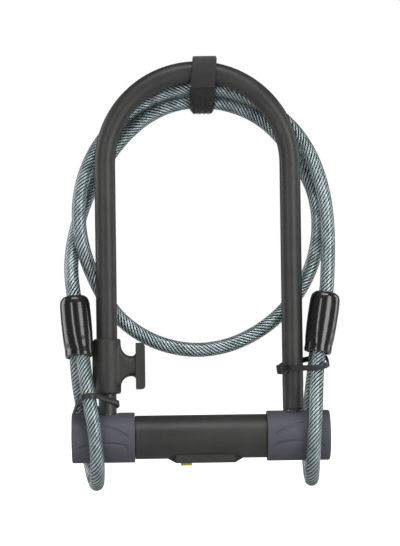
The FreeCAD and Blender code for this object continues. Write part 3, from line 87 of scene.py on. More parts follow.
def mesh_object(name, verts, faces, sharp=35.0, shade=None):
    """Mesh from points in millimetres; shade is a value per point that a look can use."""
    mesh = bpy.data.meshes.new(name)
    points = np.asarray(verts, float) * MM
    mesh.from_pydata(points.tolist(), [], [list(face) for face in faces])
    if shade is not None:
        mesh.attributes.new("shade", "FLOAT", "POINT").data.foreach_set("value", shade)
    return as_object(name, mesh, sharp)


def grid_faces(rows, columns, close_rows=False, first=0):
    """Quads over rows of points that each close into a ring."""
    faces = []
    last_row = rows if close_rows else rows - 1
    for row in range(last_row):
        here = first + row * columns
        there = first + ((row + 1) % rows) * columns
        for column in range(columns):
            after = (column + 1) % columns
            faces.append((here + column, here + after, there + after, there + column))
    return faces


def unit(vector):
    vector = np.asarray(vector, float)
    return vector / np.linalg.norm(vector)


def spline(points, step):
    """Natural cubic spline through points, sampled about every step."""
    points = np.asarray(points, float)
    gaps = np.linalg.norm(np.diff(points, axis=0), axis=1)
    knots = np.concatenate([[0], np.cumsum(gaps)])
    count = len(points)
    system = np.eye(count)
    right = np.zeros((count, 3))
    for row in range(1, count - 1):
        system[row, row - 1] = gaps[row - 1]
        system[row, row] = 2 * (gaps[row - 1] + gaps[row])
        system[row, row + 1] = gaps[row]
        slope_after = (points[row + 1] - points[row]) / gaps[row]
        slope_before = (points[row] - points[row - 1]) / gaps[row - 1]
        right[row] = 6 * (slope_after - slope_before)
    bends = np.linalg.solve(system, right)
    wanted = np.linspace(0, knots[-1], max(int(knots[-1] / step), 8))
    span = np.clip(np.searchsorted(knots, wanted, side="right") - 1, 0, count - 2)
    width = gaps[span][:, None]
    ahead = (knots[span + 1] - wanted)[:, None]
    behind = (wanted - knots[span])[:, None]
    start, end = bends[span], bends[span + 1]
    curve = (start * ahead ** 3 + end * behind ** 3) / (6 * width)
    curve += (points[span] / width - start * width / 6) * ahead
    curve += (points[span + 1] / width - end * width / 6) * behind
    return curve


def frames_along(path, side=(0, 1, 0)):
    """Tangent and two cross directions at every point, carried along without twist."""
    tangents = np.gradient(path, axis=0)
    tangents /= np.linalg.norm(tangents, axis=1)[:, None]
    first = np.asarray(side, float)
    normals = []
    for tangent in tangents:
        first = unit(first - tangent * np.dot(first, tangent))
        normals.append(first)
    normals = np.array(normals)
    return tangents, normals, np.cross(tangents, normals)


def sweep(path, rings, side=(0, 1, 0), closed=False):
    """Verts and faces of a ring (one, or one per path point) carried along a path."""
    path = np.asarray(path, float)
    _, normals, binormals = frames_along(path, side)
    rings = np.asarray(rings, float)
    if rings.ndim == 2:
        rings = np.repeat(rings[None], len(path), axis=0)
    verts = path[:, None] + rings[:, :, :1] * normals[:, None] + rings[:, :, 1:] * binormals[:, None]
    rows, columns = rings.shape[0], rings.shape[1]
    faces = grid_faces(rows, columns, closed)
    if not closed:
        faces.append(tuple(range(columns))[::-1])
        faces.append(tuple(range((rows - 1) * columns, rows * columns)))
    return verts.reshape(-1, 3), faces


def circle_ring(radius, sides):
    turns = np.linspace(0, 2 * math.pi, sides, endpoint=False)
    return np.stack([radius * np.cos(turns), radius * np.sin(turns)], 1)


def rod_with_soft_ends(path, radius, sides, rounding):
    """Rings for a round rod whose two ends are rounded over."""
    gaps = np.linalg.norm(np.diff(path, axis=0), axis=1)
    travel = np.concatenate([[0], np.cumsum(gaps)])
    from_end = np.minimum(travel, travel[-1] - travel)
    inside = np.clip(1 - from_end / rounding, 0, 1)
    radii = radius - rounding * (1 - np.sqrt(1 - inside ** 2))
    return radii[:, None, None] * circle_ring(1, sides)[None]


def end_packed(path, rounding, steps=6):
    """Add points close to both ends so that rounded ends keep their shape."""
    path = np.asarray(path, float)
    first_way = unit(path[1] - path[0])
    last_way = unit(path[-1] - path[-2])
    reach = rounding * (1 - np.cos(np.linspace(0, math.pi / 2, steps)))
    head = [path[0] + first_way * distance for distance in reach]
    tail = [path[-1] - last_way * distance for distance in reach[::-1]]
    return np.array(head + list(path[1:-1]) + tail)


def joined(*parts):
    """Several (verts, faces) pairs as one."""
    verts, faces, count = [], [], 0
    for part_verts, part_faces in parts:
        verts.append(np.asarray(part_verts, float))
        faces += [tuple(index + count for index in face) for face in part_faces]
        count += len(part_verts)
    return np.concatenate(verts), faces


def lathe(profile, sides, centre=(0, 0, 0), axis="z"):
    """Closed profile (radius, height) turned about an axis."""
    turns = np.linspace(0, 2 * math.pi, sides, endpoint=False)
    verts = []
    for radius, height in profile:
        around = [radius * np.cos(turns), radius * np.sin(turns), np.full(sides, height)]
        if axis == "x":
            around = [around[2], around[0], around[1]]
        verts.append(np.stack(around, 1))
    verts = np.concatenate(verts) + np.asarray(centre, float)
    return verts, grid_faces(len(profile), sides, close_rows=True)


def rounded_profile(corners, steps=5):
    """Closed profile whose corners (x, y, radius) are rounded."""
    points = []
    count = len(corners)
    for index, (x, y, radius) in enumerate(corners):
        here = np.array([x, y])
        before = np.array(corners[index - 1][:2]) - here
        after = np.array(corners[(index + 1) % count][:2]) - here
        if radius <= 0:
            points.append(here)
            continue
        before_unit, after_unit = unit(before), unit(after)
        half = math.acos(np.clip(np.dot(before_unit, after_unit), -1, 1)) / 2
        cut = radius / math.tan(half)
        cut = min(cut, 0.49 * np.linalg.norm(before), 0.49 * np.linalg.norm(after))
        start, end = here + before_unit * cut, here + after_unit * cut
        for step in np.linspace(0, 1, steps):
            blend = (1 - step) ** 2 * start + 2 * step * (1 - step) * here + step ** 2 * end
            points.append(blend)
    return np.array(points)


def slab(outline, low, high, plane="xz"):
    """Outline pulled between two distances square to its plane."""
    outline = np.asarray(outline, float)
    count = len(outline)
    places = {"xz": (0, 2, 1), "xy": (0, 1, 2), "yz": (1, 2, 0)}[plane]
    verts = np.zeros((2 * count, 3))
    verts[:count, places[0]], verts[count:, places[0]] = outline[:, 0], outline[:, 0]
    verts[:count, places[1]], verts[count:, places[1]] = outline[:, 1], outline[:, 1]
    verts[:count, places[2]], verts[count:, places[2]] = low, high
    faces = [tuple(range(count))[::-1], tuple(range(count, 2 * count))]
    for index in range(count):
        after = (index + 1) % count
        faces.append((index, after, count + after, count + index))
    return verts, faces


def bevel(item, width, segments=3, angle=30):
    tool = item.modifiers.new("bevel", "BEVEL")
    tool.width = width * MM
    tool.segments = segments
    tool.limit_method = "ANGLE"
    tool.angle_limit = math.radians(angle)
    tool.harden_normals = True
    return item


def carve(item, tool_name, tool_part):
    """Cut a shape out of a piece for good."""
    tool = mesh_object(tool_name, *tool_part)
    cutter = item.modifiers.new("cut", "BOOLEAN")
    cutter.operation = "DIFFERENCE"
    cutter.solver = "EXACT"
    cutter.object = tool
    bpy.context.view_layer.update()
    evaluated = item.evaluated_get(bpy.context.evaluated_depsgraph_get())
    mesh = bpy.data.meshes.new_from_object(evaluated)
    item.modifiers.remove(cutter)
    item.data = mesh
    bpy.data.objects.remove(tool)
    mesh.polygons.foreach_set("use_smooth", [True] * len(mesh.polygons))
    mesh.set_sharp_from_angle(angle=math.radians(35))
    return item


def dress_piece(item, look, body, slot_name, *nodes):
    """Give a piece its look, the body it rides on and the CAD nodes it stands for."""
    item.data.materials.clear()
    item.data.materials.append(look)
    if body:
        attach(item, body)
    if nodes:
        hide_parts(*nodes)
    return item


# ---------------------------------------------------------------- materials

def new_look(name):
    look = bpy.data.materials.new(name)
    look.use_nodes = True
    tree = look.node_tree
    return look, tree, tree.nodes["Principled BSDF"]


def noise_node(tree, scale, detail=4.0, stretch=None):
    """Noise over the object's own coordinates, in cells per metre."""
    place = tree.nodes.new("ShaderNodeTexCoord")
    source = place.outputs["Object"]
    if stretch is not None:
        mapping = tree.nodes.new("ShaderNodeMapping")
        mapping.inputs["Scale"].default_value = stretch
        tree.links.new(source, mapping.inputs["Vector"])
        source = mapping.outputs["Vector"]
    texture = tree.nodes.new("ShaderNodeTexNoise")
    texture.inputs["Scale"].default_value = scale
    texture.inputs["Detail"].default_value = detail
    tree.links.new(source, texture.inputs["Vector"])
    return texture


def ramp_node(tree, source, stops):
    """Colour ramp of (position, colour) stops driven by a socket."""
    ramp = tree.nodes.new("ShaderNodeValToRGB")
    elements = ramp.color_ramp.elements
    while len(elements) < len(stops):
        elements.new(0.5)
    for element, (position, colour) in zip(elements, stops):
        element.position = position
        element.color = (*colour, 1)
    tree.links.new(source, ramp.inputs["Fac"])
    return ramp


def add_bump(tree, shader, source, strength, distance):
    bump = tree.nodes.new("ShaderNodeBump")
    bump.inputs["Strength"].default_value = strength
    bump.inputs["Distance"].default_value = distance * MM
    tree.links.new(source, bump.inputs["Height"])
    tree.links.new(bump.outputs["Normal"], shader.inputs["Normal"])
    return bump


def add_range(tree, source, socket, low, high):
    """Map a 0 to 1 source into a range on a socket."""
    mapping = tree.nodes.new("ShaderNodeMapRange")
    mapping.inputs["To Min"].default_value = low
    mapping.inputs["To Max"].default_value = high
    tree.links.new(source, mapping.inputs["Value"])
    tree.links.new(mapping.outputs["Result"], socket)


def surface(name, dark, light, rough, grain, bump, metallic=0.0, coat=0.0, cloud=40.0, stretch=None):
    """Solid surface with cloudy colour, uneven gloss and a fine grain."""
    look, tree, shader = new_look(name)
    clouds = noise_node(tree, cloud, 5.0, stretch)
    ramp = ramp_node(tree, clouds.outputs["Fac"], ((0.35, dark), (0.65, light)))
    tree.links.new(ramp.outputs["Color"], shader.inputs["Base Color"])
    fine = noise_node(tree, grain, 6.0, stretch)
    add_range(tree, fine.outputs["Fac"], shader.inputs["Roughness"], rough[0], rough[1])
    shader.inputs["Metallic"].default_value = metallic
    shader.inputs["Coat Weight"].default_value = coat
    shader.inputs["Coat Roughness"].default_value = 0.12
    add_bump(tree, shader, fine.outputs["Fac"], bump, 0.08)
    return look


def scuffed_vinyl():
    """Satin vinyl of the shackle, with a few faint rubbed marks."""
    look = surface("satin_vinyl", (0.020, 0.020, 0.019), (0.030, 0.030, 0.028), (0.38, 0.52), 900, 0.25)
    tree = look.node_tree
    shader = tree.nodes["Principled BSDF"]
    marks = noise_node(tree, 95, 3.0, (1.0, 1.0, 0.25))
    ramp = ramp_node(tree, marks.outputs["Fac"], ((0.68, (0, 0, 0)), (0.74, (0.35, 0.35, 0.35))))
    mix = tree.nodes.new("ShaderNodeMix")
    mix.data_type = "RGBA"
    base = shader.inputs["Base Color"].links[0].from_socket
    tree.links.new(ramp.outputs["Color"], mix.inputs["Factor"])
    tree.links.new(base, mix.inputs["A"])
    mix.inputs["B"].default_value = (0.075, 0.073, 0.068, 1)
    tree.links.new(mix.outputs["Result"], shader.inputs["Base Color"])
    return look


def rope_look():
    """Bright galvanised wire, stained here and there, with painted shade darkening the creases between
    strands.
    """
    look, tree, shader = new_look("galvanised_wire")
    stain = noise_node(tree, 160, 4.0)
    ramp = ramp_node(tree, stain.outputs["Fac"],
                     ((0.30, (0.40, 0.44, 0.45)), (0.55, (0.66, 0.70, 0.71)), (0.8, (0.82, 0.85, 0.85))))
    # painted shade: the point shade darkens each strand's sides where strands meet, multiplied into the wire
    # colour
    crown = tree.nodes.new("ShaderNodeAttribute")
    crown.attribute_name = "shade"
    crease = ramp_node(tree, crown.outputs["Fac"], ((0.45, (0.015, 0.018, 0.018)), (0.93, (1, 1, 1))))
    mix = tree.nodes.new("ShaderNodeMix")
    mix.data_type = "RGBA"
    mix.blend_type = "MULTIPLY"
    mix.inputs["Factor"].default_value = 1.0
    tree.links.new(ramp.outputs["Color"], mix.inputs["A"])
    tree.links.new(crease.outputs["Color"], mix.inputs["B"])
    tree.links.new(mix.outputs["Result"], shader.inputs["Base Color"])
    shader.inputs["Metallic"].default_value = 0.75
    fine = noise_node(tree, 2400, 3.0)
    add_range(tree, fine.outputs["Fac"], shader.inputs["Roughness"], 0.28, 0.46)
    add_bump(tree, shader, fine.outputs["Fac"], 0.2, 0.03)
    return look


def clear_jacket_look():
    """Clear grey-green vinyl that lets light through to the wire."""
    look, tree, shader = new_look("clear_vinyl")
    drift = noise_node(tree, 60, 3.0)
    ramp = ramp_node(tree, drift.outputs["Fac"], ((0.3, (0.66, 0.75, 0.76)), (0.7, (0.74, 0.82, 0.82))))
    tree.links.new(ramp.outputs["Color"], shader.inputs["Base Color"])
    shader.inputs["Transmission Weight"].default_value = 1.0
    shader.inputs["IOR"].default_value = 1.42
    fine = noise_node(tree, 420, 3.0)
    add_range(tree, fine.outputs["Fac"], shader.inputs["Roughness"], 0.0, 0.05)
    # light reaches the wire straight through the jacket
    path = tree.nodes.new("ShaderNodeLightPath")
    clear = tree.nodes.new("ShaderNodeBsdfTransparent")
    clear.inputs["Color"].default_value = (0.72, 0.80, 0.81, 1)
    either = tree.nodes.new("ShaderNodeMath")
    either.operation = "MAXIMUM"
    tree.links.new(path.outputs["Is Shadow Ray"], either.inputs[0])
    tree.links.new(path.outputs["Is Diffuse Ray"], either.inputs[1])
    mix = tree.nodes.new("ShaderNodeMixShader")
    tree.links.new(either.outputs["Value"], mix.inputs["Fac"])
    tree.links.new(shader.outputs["BSDF"], mix.inputs[1])
    tree.links.new(clear.outputs["BSDF"], mix.inputs[2])
    tree.links.new(mix.outputs["Shader"], tree.nodes["Material Output"].inputs["Surface"])
    return look


def webbing_look():
    """Woven tape with fine crosswise ribs."""
    look, tree, shader = new_look("woven_tape")
    place = tree.nodes.new("ShaderNodeTexCoord")
    waves = []
    for direction, scale in (("X", 620.0), ("Z", 480.0)):
        wave = tree.nodes.new("ShaderNodeTexWave")
        wave.bands_direction = direction
        wave.inputs["Scale"].default_value = scale
        wave.inputs["Distortion"].default_value = 1.5
        tree.links.new(place.outputs["Object"], wave.inputs["Vector"])
        waves.append(wave.outputs["Fac"])
    weave = tree.nodes.new("ShaderNodeMath")
    weave.operation = "MULTIPLY"
    tree.links.new(waves[0], weave.inputs[0])
    tree.links.new(waves[1], weave.inputs[1])
    shades = ((0.0, (0.018, 0.018, 0.018)), (0.8, (0.045, 0.045, 0.044)))
    ramp = ramp_node(tree, weave.outputs["Value"], shades)
    tree.links.new(ramp.outputs["Color"], shader.inputs["Base Color"])
    shader.inputs["Roughness"].default_value = 0.85
    shader.inputs["Sheen Weight"].default_value = 0.25
    add_bump(tree, shader, weave.outputs["Value"], 0.6, 0.15)
    return look


def seal_look():
    """Soft rubber with a few pale specks of dust."""
    look = surface("seal_rubber", (0.018, 0.018, 0.018), (0.032, 0.031, 0.030), (0.35, 0.6), 1500, 0.4)
    tree = look.node_tree
    shader = tree.nodes["Principled BSDF"]
    specks = noise_node(tree, 700, 1.0)
    ramp = ramp_node(tree, specks.outputs["Fac"], ((0.69, (0, 0, 0)), (0.71, (1, 1, 1))))
    mix = tree.nodes.new("ShaderNodeMix")
    mix.data_type = "RGBA"
    base = shader.inputs["Base Color"].links[0].from_socket
    tree.links.new(ramp.outputs["Color"], mix.inputs["Factor"])
    tree.links.new(base, mix.inputs["A"])
    mix.inputs["B"].default_value = (0.42, 0.41, 0.39, 1)
    tree.links.new(mix.outputs["Result"], shader.inputs["Base Color"])
    return look


LOOKS = {
    "black_vinyl": scuffed_vinyl(),
    "hard_steel": surface("dark_steel", (0.045, 0.045, 0.043), (0.085, 0.085, 0.08), (0.32, 0.50), 1200, 0.2,
                          metallic=0.7, stretch=(1, 1, 0.2)),
    "cap_plastic": surface("cap_rubber", (0.066, 0.064, 0.082), (0.080, 0.078, 0.098),
                           (0.52, 0.68), 1600, 0.35),
    "black_plastic": surface("bracket_plastic", (0.022, 0.022, 0.020), (0.031, 0.031, 0.029), (0.40, 0.55),
                             1300, 0.35),
    "boot_vinyl": surface("gloss_vinyl", (0.006, 0.006, 0.006), (0.010, 0.010, 0.010), (0.16, 0.26), 260, 0.10,
                          coat=0.6),
    "clear_jacket": clear_jacket_look(),
    "wire_rope": rope_look(),
    "zinc": surface("die_cast_zinc", (0.30, 0.31, 0.33), (0.42, 0.43, 0.45), (0.40, 0.60), 900, 0.3,
                    metallic=0.8),
    "brass": surface("machined_brass", (0.50, 0.36, 0.14), (0.68, 0.50, 0.22), (0.20, 0.36), 1500, 0.2,
                     metallic=1.0, stretch=(1, 1, 0.1)),
    "yellow": surface("yellow_plastic", (0.56, 0.36, 0.015), (0.70, 0.46, 0.03), (0.30, 0.42), 1100, 0.2),
    "webbing": webbing_look(),
    "nylon": surface("black_nylon", (0.016, 0.016, 0.016), (0.028, 0.028, 0.028), (0.28, 0.42), 1200, 0.2),
    "seal_rubber": seal_look(),
    "blackened": surface("black_oxide", (0.03, 0.03, 0.03), (0.06, 0.058, 0.055), (0.30, 0.50), 1400, 0.25,
                         metallic=0.8),
}


def dress_cad_nodes():
    """Every carried-over CAD node takes the look of its own slot."""
    for row in frame["record"]["subparts"]:
        node = frame["nodes"][row["node"]]
        node.data.materials.clear()
        node.data.materials.append(LOOKS[row["material_slot"]])


# ---------------------------------------------------------------- shackle

def shackle_line(left_end, right_end, step=2.0):
    """Centre line up the left leg, over the arch and down the right leg."""
    left = np.arange(left_end, ARCH_Z, step)
    right = np.arange(right_end, ARCH_Z, step)[::-1]
    turns = np.linspace(math.pi, 0, 110)
    points = [(-LEG_X, 0, z) for z in left]
    points += [(LEG_X * math.cos(turn), 0, ARCH_Z + LEG_X * math.sin(turn)) for turn in turns]
    points += [(LEG_X, 0, z) for z in right]
    return np.array(points)


def shackle_coating():
    line = end_packed(shackle_line(31.0, 18.3), 0.7)
    rings = rod_with_soft_ends(line, COAT_R, 56, 0.7)
    item = mesh_object("shackle_skin", *sweep(line, rings))
    dress_piece(item, LOOKS["black_vinyl"], "shackle", "black_vinyl", "shackle_coating")


def leg_seals():
    """Rubber rings that close the caps' leg holes; the right one stands up to the coating."""
    for name, side, top, reach in (("left", -1, 16.4, 7.9), ("right", 1, 18.1, 7.35)):
        profile = rounded_profile([
            (6.42, 14.1, 0), (8.0, 14.1, 0), (8.0, 15.3, 0.2), (reach, 15.8, 0.3), (reach, top, 0.4),
            (6.42, top + 0.1, 0.2)])
        item = mesh_object("seal_lip_" + name, *lathe(profile, 64, (side * LEG_X, 0, 0)))
        dress_piece(item, LOOKS["seal_rubber"], "crossbar", "seal_rubber", "leg_seal_" + name)


# ---------------------------------------------------------------- crossbar shell

def crossbar_sleeve():
    profile = rounded_profile([
        (14.05, -45.9, 0), (SLEEVE_R, -45.9, 0.3), (SLEEVE_R, 45.9, 0.3), (14.05, 45.9, 0)])
    outline = np.array([(-23.6, -1.8), (-17.5, -9.2), (23.5, -9.2), (29.5, -1.8),
                        (29.5, 1.8), (23.5, 9.2), (-17.5, 9.2), (-23.6, 1.8)])
    item = mesh_object("sleeve_skin", *lathe(profile, 128, axis="x"))
    carve(item, "sleeve_window", slab(outline, -25, -5, "xy"))
    dress_piece(item, LOOKS["black_vinyl"], "crossbar", "black_vinyl", "crossbar_sleeve")


GROOVES = (
    ((-13.0, 1.6), (-8.0, 4.8), (-3.0, 6.8), (3.0, 8.4), (7.7, 9.4)),
    ((-12.6, -6.6), (-11.2, -5.2), (-7.0, -4.3), (-1.0, -3.6), (6.0, -3.7)),
    ((19.6, -7.0), (16.8, -5.7), (13.4, -4.8)),
)


def groove_samples():
    """Points of the flared lines as (x, height), thickly sampled."""
    samples = []
    for line in GROOVES:
        points = [(LEG_X + along, height, 0) for along, height in line]
        samples.append(spline(points, 0.4)[:, :2])
    return samples


def end_cap(name, side):
    """Domed cap with the flared lines pressed into its skin, and the leg's hole."""
    outer = rounded_profile([
        (14.05, 46.0, 0), (CAP_R, 46.0, 0.7), (CAP_R, 89.9, 1.5), (0.02, 90.5, 0)], 7)
    steps = np.linspace(46.9, 88.2, 150)
    rim = [point for point in outer if point[1] < 60]
    end = [point for point in outer if point[1] > 60]
    profile = rim + [(CAP_R, step) for step in steps] + end + [(0.02, 87.7), (14.05, 87.7)]
    verts, faces = lathe(profile, 300, axis="x")
    radius = np.hypot(verts[:, 1], verts[:, 2])
    skin = radius > CAP_R - 0.3
    depth = np.zeros(len(verts))
    for line in groove_samples():
        # a line presses the skin in over a narrow width, fading out at its flared end
        gap = np.full(len(verts), 99.0)
        share = np.zeros(len(verts))
        for index, (x, height) in enumerate(line):
            distance = np.hypot(verts[:, 0] - x, verts[:, 2] - height)
            nearer = distance < gap
            gap[nearer] = distance[nearer]
            share[nearer] = index / (len(line) - 1)
        width = 0.95
        strength = 0.85 * np.clip(1.35 - share, 0.55, 1)
        depth = np.maximum(depth, strength * np.exp(-(gap / width) ** 4))
    depth[~skin] = 0
    factor = (radius - depth) / np.maximum(radius, 0.001)
    verts[:, 1] *= factor
    verts[:, 2] *= factor
    verts[:, 0] *= side
    item = mesh_object("cap_" + name, verts, faces)
    hole = lathe([(0.01, 5), (8.1, 5), (8.1, 30), (0.01, 30)], 64, (side * LEG_X, 0, 0))
    carve(item, "cap_hole", hole)
    dress_piece(item, LOOKS["cap_plastic"], "crossbar", "cap_plastic", "end_cap_" + name)


def keyway_shroud():
    """Faceted saddle below the bar with the window for the cover's tab."""
    plan = [(-23.4, -1.5), (-17.5, -9.0), (23.5, -9.0), (29.3, -1.5),
            (29.3, 1.5), (23.5, 9.0), (-17.5, 9.0), (-23.4, 1.5)]
    count = len(plan)
    bottom = [(x, y, -18.0 if -18 < x < 24 else -15.1) for x, y in plan]
    top = [(x, y, -9.0) for x, y in plan]
    verts = np.array(bottom + top)
    faces = [(1, 2, 5, 6)[::-1], (0, 1, 6, 7)[::-1], (2, 3, 4, 5)[::-1]]
    faces.append(tuple(range(count, 2 * count)))
    for index in range(count):
        after = (index + 1) % count
        faces.append((index, after, count + after, count + index))
    item = mesh_object("shroud_skin", verts, faces)
    carve(item, "saddle", lathe([(0.01, -40), (14.05, -40), (14.05, 40), (0.01, 40)], 96, axis="x"))
    cavity = [(-14.6, -6.6), (24.0, -6.6), (24.0, 6.6), (-14.6, 6.6)]
    carve(item, "cavity", slab(cavity, -17.0, 0, "xy"))
    window = [(-14.5, -5.2), (12.5, -5.2), (12.5, 5.2), (-14.5, 5.2)]
    carve(item, "window", slab(window, -19, -16.5, "xy"))
    for y in (-3.4, 3.4):
        seat = lathe([(0.01, -19), (1.7, -19), (1.7, -15.8), (0.01, -15.8)], 32, (-18.8, y, 0))
        carve(item, "seat", seat)
        shank = lathe([(0.01, -17), (1.05, -17), (1.05, -8), (0.01, -8)], 32, (-18.8, y, 0))
        carve(item, "shank", shank)
    bevel(item, 0.35)
    dress_piece(item, LOOKS["black_plastic"], "crossbar", "black_plastic", "keyway_shroud")


def dust_cover():
    """Golden sliding cover with a ribbed finger tab."""
    slab_outline = rounded_profile([(-14.4, -6.4, 0.6), (5.0, -6.4, 0.6), (5.0, 6.4, 0.6), (-14.4, 6.4, 0.6)])
    plate = slab(slab_outline, -16.95, -15.55, "xy")
    ridges = [(-14.3, -16.9), (-14.3, -20.0)]
    for step in range(1, 4):
        middle = -14.3 + step * 7.8 / 4
        ridges += [(middle - 0.4, -20.0), (middle - 0.2, -19.75)]
        ridges += [(middle + 0.2, -19.75), (middle + 0.4, -20.0)]
    ridges += [(-6.5, -20.0), (-6.5, -16.9)]
    tab = slab(np.array(ridges), -5.0, 5.0, "xz")
    item = mesh_object("cover_skin", *joined(plate, tab), sharp=25)
    bevel(item, 0.18)
    dress_piece(item, LOOKS["yellow"], "cover", "yellow", "dust_cover")


# ---------------------------------------------------------------- carrier bracket

BRACKET_Z = 49.8


def clamp_collar():
    profile = rounded_profile([
        (7.34, 30.6, 0.25), (8.7, 30.6, 0.3), (9.6, 31.7, 0.5), (9.6, 67.9, 0.5),
        (8.7, 69.0, 0.3), (7.34, 69.0, 0.25)])
    return lathe(profile, 96, (-LEG_X, 0, 0))


def hook_ear():
    outline = rounded_profile([(-75.1, 31.8, 1.0), (-73.0, 31.8, 0), (-73.0, 67.8, 0), (-75.1, 67.8, 1.0)])
    return slab(outline, -2.4, 2.4, "xz")


def neck_loft():
    """Neck that flares tangentially out of the collar and swells a little into the tongue."""
    rings = []
    turns = np.linspace(0, 2 * math.pi, 64, endpoint=False)
    cosine, sine = np.cos(turns), np.sin(turns)
    for x in np.linspace(-62.0, -44.2, 64):
        from_collar = np.clip((-48.2 - x) / 7.0, 0, 1)
        flare_up = 8.6 * (1 - math.sqrt(1 - from_collar ** 2))
        flare_down = 7.0 * (1 - math.sqrt(1 - from_collar ** 2))
        at_tongue = np.clip((x + 47.4) / 2.5, 0, 1)
        swell = 2.5 * (1 - math.sqrt(1 - at_tongue ** 2))
        collar_depth = math.sqrt(max(9.5 ** 2 - (x + LEG_X) ** 2, 0.01))
        deep = (6.5 ** 7 + collar_depth ** 7) ** (1 / 7) + 0.4 * swell
        square = 2.6 + 3.0 * from_collar
        y = deep * np.sign(cosine) * np.abs(cosine) ** (2 / square)
        up = np.sign(sine) * np.abs(sine) ** (2 / square)
        half = np.where(up > 0, 7.15 + flare_up, 7.15 + flare_down) + swell
        rings.append(np.stack([np.full(64, x), y, BRACKET_Z + half * up], 1))
    faces = grid_faces(len(rings), 64)
    faces.append(tuple(range(64))[::-1])
    faces.append(tuple(range((len(rings) - 1) * 64, len(rings) * 64)))
    return np.concatenate(rings), faces


def tongue_plate():
    outline = rounded_profile([
        (-44.9, 33.55, 0.9), (-38.3, 33.55, 3.2), (-38.3, 66.05, 3.2), (-44.9, 66.05, 0.6)], 8)
    return slab(outline, -7.8, 7.8, "xz")


def bracket():
    """Clamp collar, hook ear, neck and T-shaped tongue, with their edges eased."""
    item = mesh_object("bracket_body", *joined(clamp_collar(), neck_loft()))
    dress_piece(item, LOOKS["black_plastic"], "shackle", "black_plastic", "bracket_front", "bracket_rear")
    plate = mesh_object("bracket_tongue", *joined(tongue_plate(), hook_ear()))
    scoop = lathe([(0.01, 46.4), (1.5, 46.4), (1.5, 53.4), (0.01, 53.4)], 32, (-37.9, -7.9, 0))
    carve(plate, "scoop", scoop)
    bevel(plate, 0.7, 4)
    dress_piece(plate, LOOKS["black_plastic"], "shackle", "black_plastic")


# ---------------------------------------------------------------- loop cable

BOOTS = {
    "left": ((-83.7, -9.5, 56.7), (-87.3, -2.0, 98.6), (0.4, -0.92, 0)),
    "right": ((82.1, -3.0, 57.6), (89.0, 2.0, 98.5), (0.1, -1.0, 0)),
}

EYES = {
    "left": ((-79.3, -20.0, 40), (-76.3, -23.0, 22), (-73.7, -23.4, 4), (-72.1, -20.6, -15.5),
             (-72.2, -12.0, -27.3), (-73.2, 0, -31.9), (-75.3, 12.0, -28.3), (-77.8, 20.6, -17),
             (-80.0, 23.8, -1), (-82.0, 19.2, 17), (-84.4, 6.6, 35)),
    "right": ((80.4, -15.0, 41), (79.2, -21.5, 21), (77.9, -23.4, 2), (77.1, -20.4, -14.5),
              (76.8, -12.0, -26.2), (76.9, 0, -30.6), (76.8, 12.0, -26.6), (76.6, 20.6, -15),
              (76.9, 23.4, 2), (78.0, 20.5, 21), (80.2, 11.2, 42.3)),
}

COIL = ((-88.4, 0.6, 107.5), (-89, 11, 125), (-61.5, 18.5, 199), (-50.6, 18, 212.2), (-20.2, 15.3, 232.3),
        (48, 20, 221.5), (71.5, 18.5, 193.5), (80.5, 16.5, 176), (76, 13, 110), (0.5, 13, 60.5),
        (-56.5, 13.5, 84.5), (-73, 10.5, 111), (-82, 5.5, 139), (-74.5, 12.5, 195.5), (-33, 13, 237),
        (-10.5, 8, 244), (31, 11, 240), (69.5, 12, 213.5), (89, 6.5, 166), (90.5, 4, 115))

FERRULE_LIFT = 8.0
FERRULE_RISE = 26.0
CRIMP_DEPTH = 13.0
LOOP_SOCKET_OFFSET = 4.5
MOUTH_SPREAD = 5.2


def boot_frame(side):
    """Foot, head, upward direction and pair direction of a boot."""
    foot, head, across = (np.array(part, float) for part in BOOTS[side])
    up = unit(head - foot)
    pair = unit(across - up * np.dot(across, up))
    return foot, head, up, pair


def eye_points(side):
    foot, _, up, pair = boot_frame(side)
    base = foot + up * FERRULE_LIFT
    mouth = foot + up
    crimp = up * CRIMP_DEPTH
    aside = pair * LOOP_SOCKET_OFFSET
    spread = pair * MOUTH_SPREAD
    points = [base + crimp + aside, base + aside, mouth + spread]
    points += [np.array(point, float) for point in EYES[side]]
    points += [mouth - spread, base - aside, base + crimp - aside]
    return points


def coil_points():
    ends = {}
    for side in ("left", "right"):
        foot, head, up, _ = boot_frame(side)
        ends[side] = (foot + up * FERRULE_RISE, head + up)
    return [*ends["left"], *[np.array(point, float) for point in COIL], *ends["right"][::-1]]


STRANDS = 9
STRAND_R = 0.97
STRAND_PLACE = 3.1
LAY_LENGTH = 27.0


def rope_strands(line):
    """Outer strands on right-hand helices; a point's shade is 1 on a crown and less in a crease, and drives
    the painted crease shade of the wire's look.
    """
    gaps = np.linalg.norm(np.diff(line, axis=0), axis=1)
    travel = np.concatenate([[0], np.cumsum(gaps)])
    _, normals, binormals = frames_along(line)
    parts, shades = [], []
    for strand in range(STRANDS):
        turn = 2 * math.pi * (strand / STRANDS + travel / LAY_LENGTH)
        around = np.cos(turn)[:, None] * normals + np.sin(turn)[:, None] * binormals
        centre = line + STRAND_PLACE * around
        rod, faces = sweep(centre, circle_ring(STRAND_R, 8))
        offset = (rod.reshape(len(line), -1, 3) - centre[:, None]) / STRAND_R
        shades.append(np.einsum("ijk,ik->ij", offset, around).ravel())
        parts.append((rod, faces))
    return joined(*parts), np.concatenate(shades)


def cable(name, points, body):
    """Stranded rope on a core coloured dark as painted shade between the strands, inside a clear jacket."""
    line = spline(points, 1.25)
    core = mesh_object(name + "_core", *sweep(line, circle_ring(STRAND_PLACE - 0.35, 16)))
    strands, shades = rope_strands(line)
    rope = mesh_object(name + "_strands", *strands, sharp=80, shade=shades)
    jacket = mesh_object(name + "_skin", *sweep(line, circle_ring(CABLE_R, 28)))
    dress_piece(core, LOOKS["rope_core"], body, "wire_rope")
    dress_piece(rope, LOOKS["wire_rope"], body, "wire_rope", name + "_rope")
    dress_piece(jacket, LOOKS["clear_jacket"], body, "clear_jacket", name + "_jacket")
    return core, rope, jacket


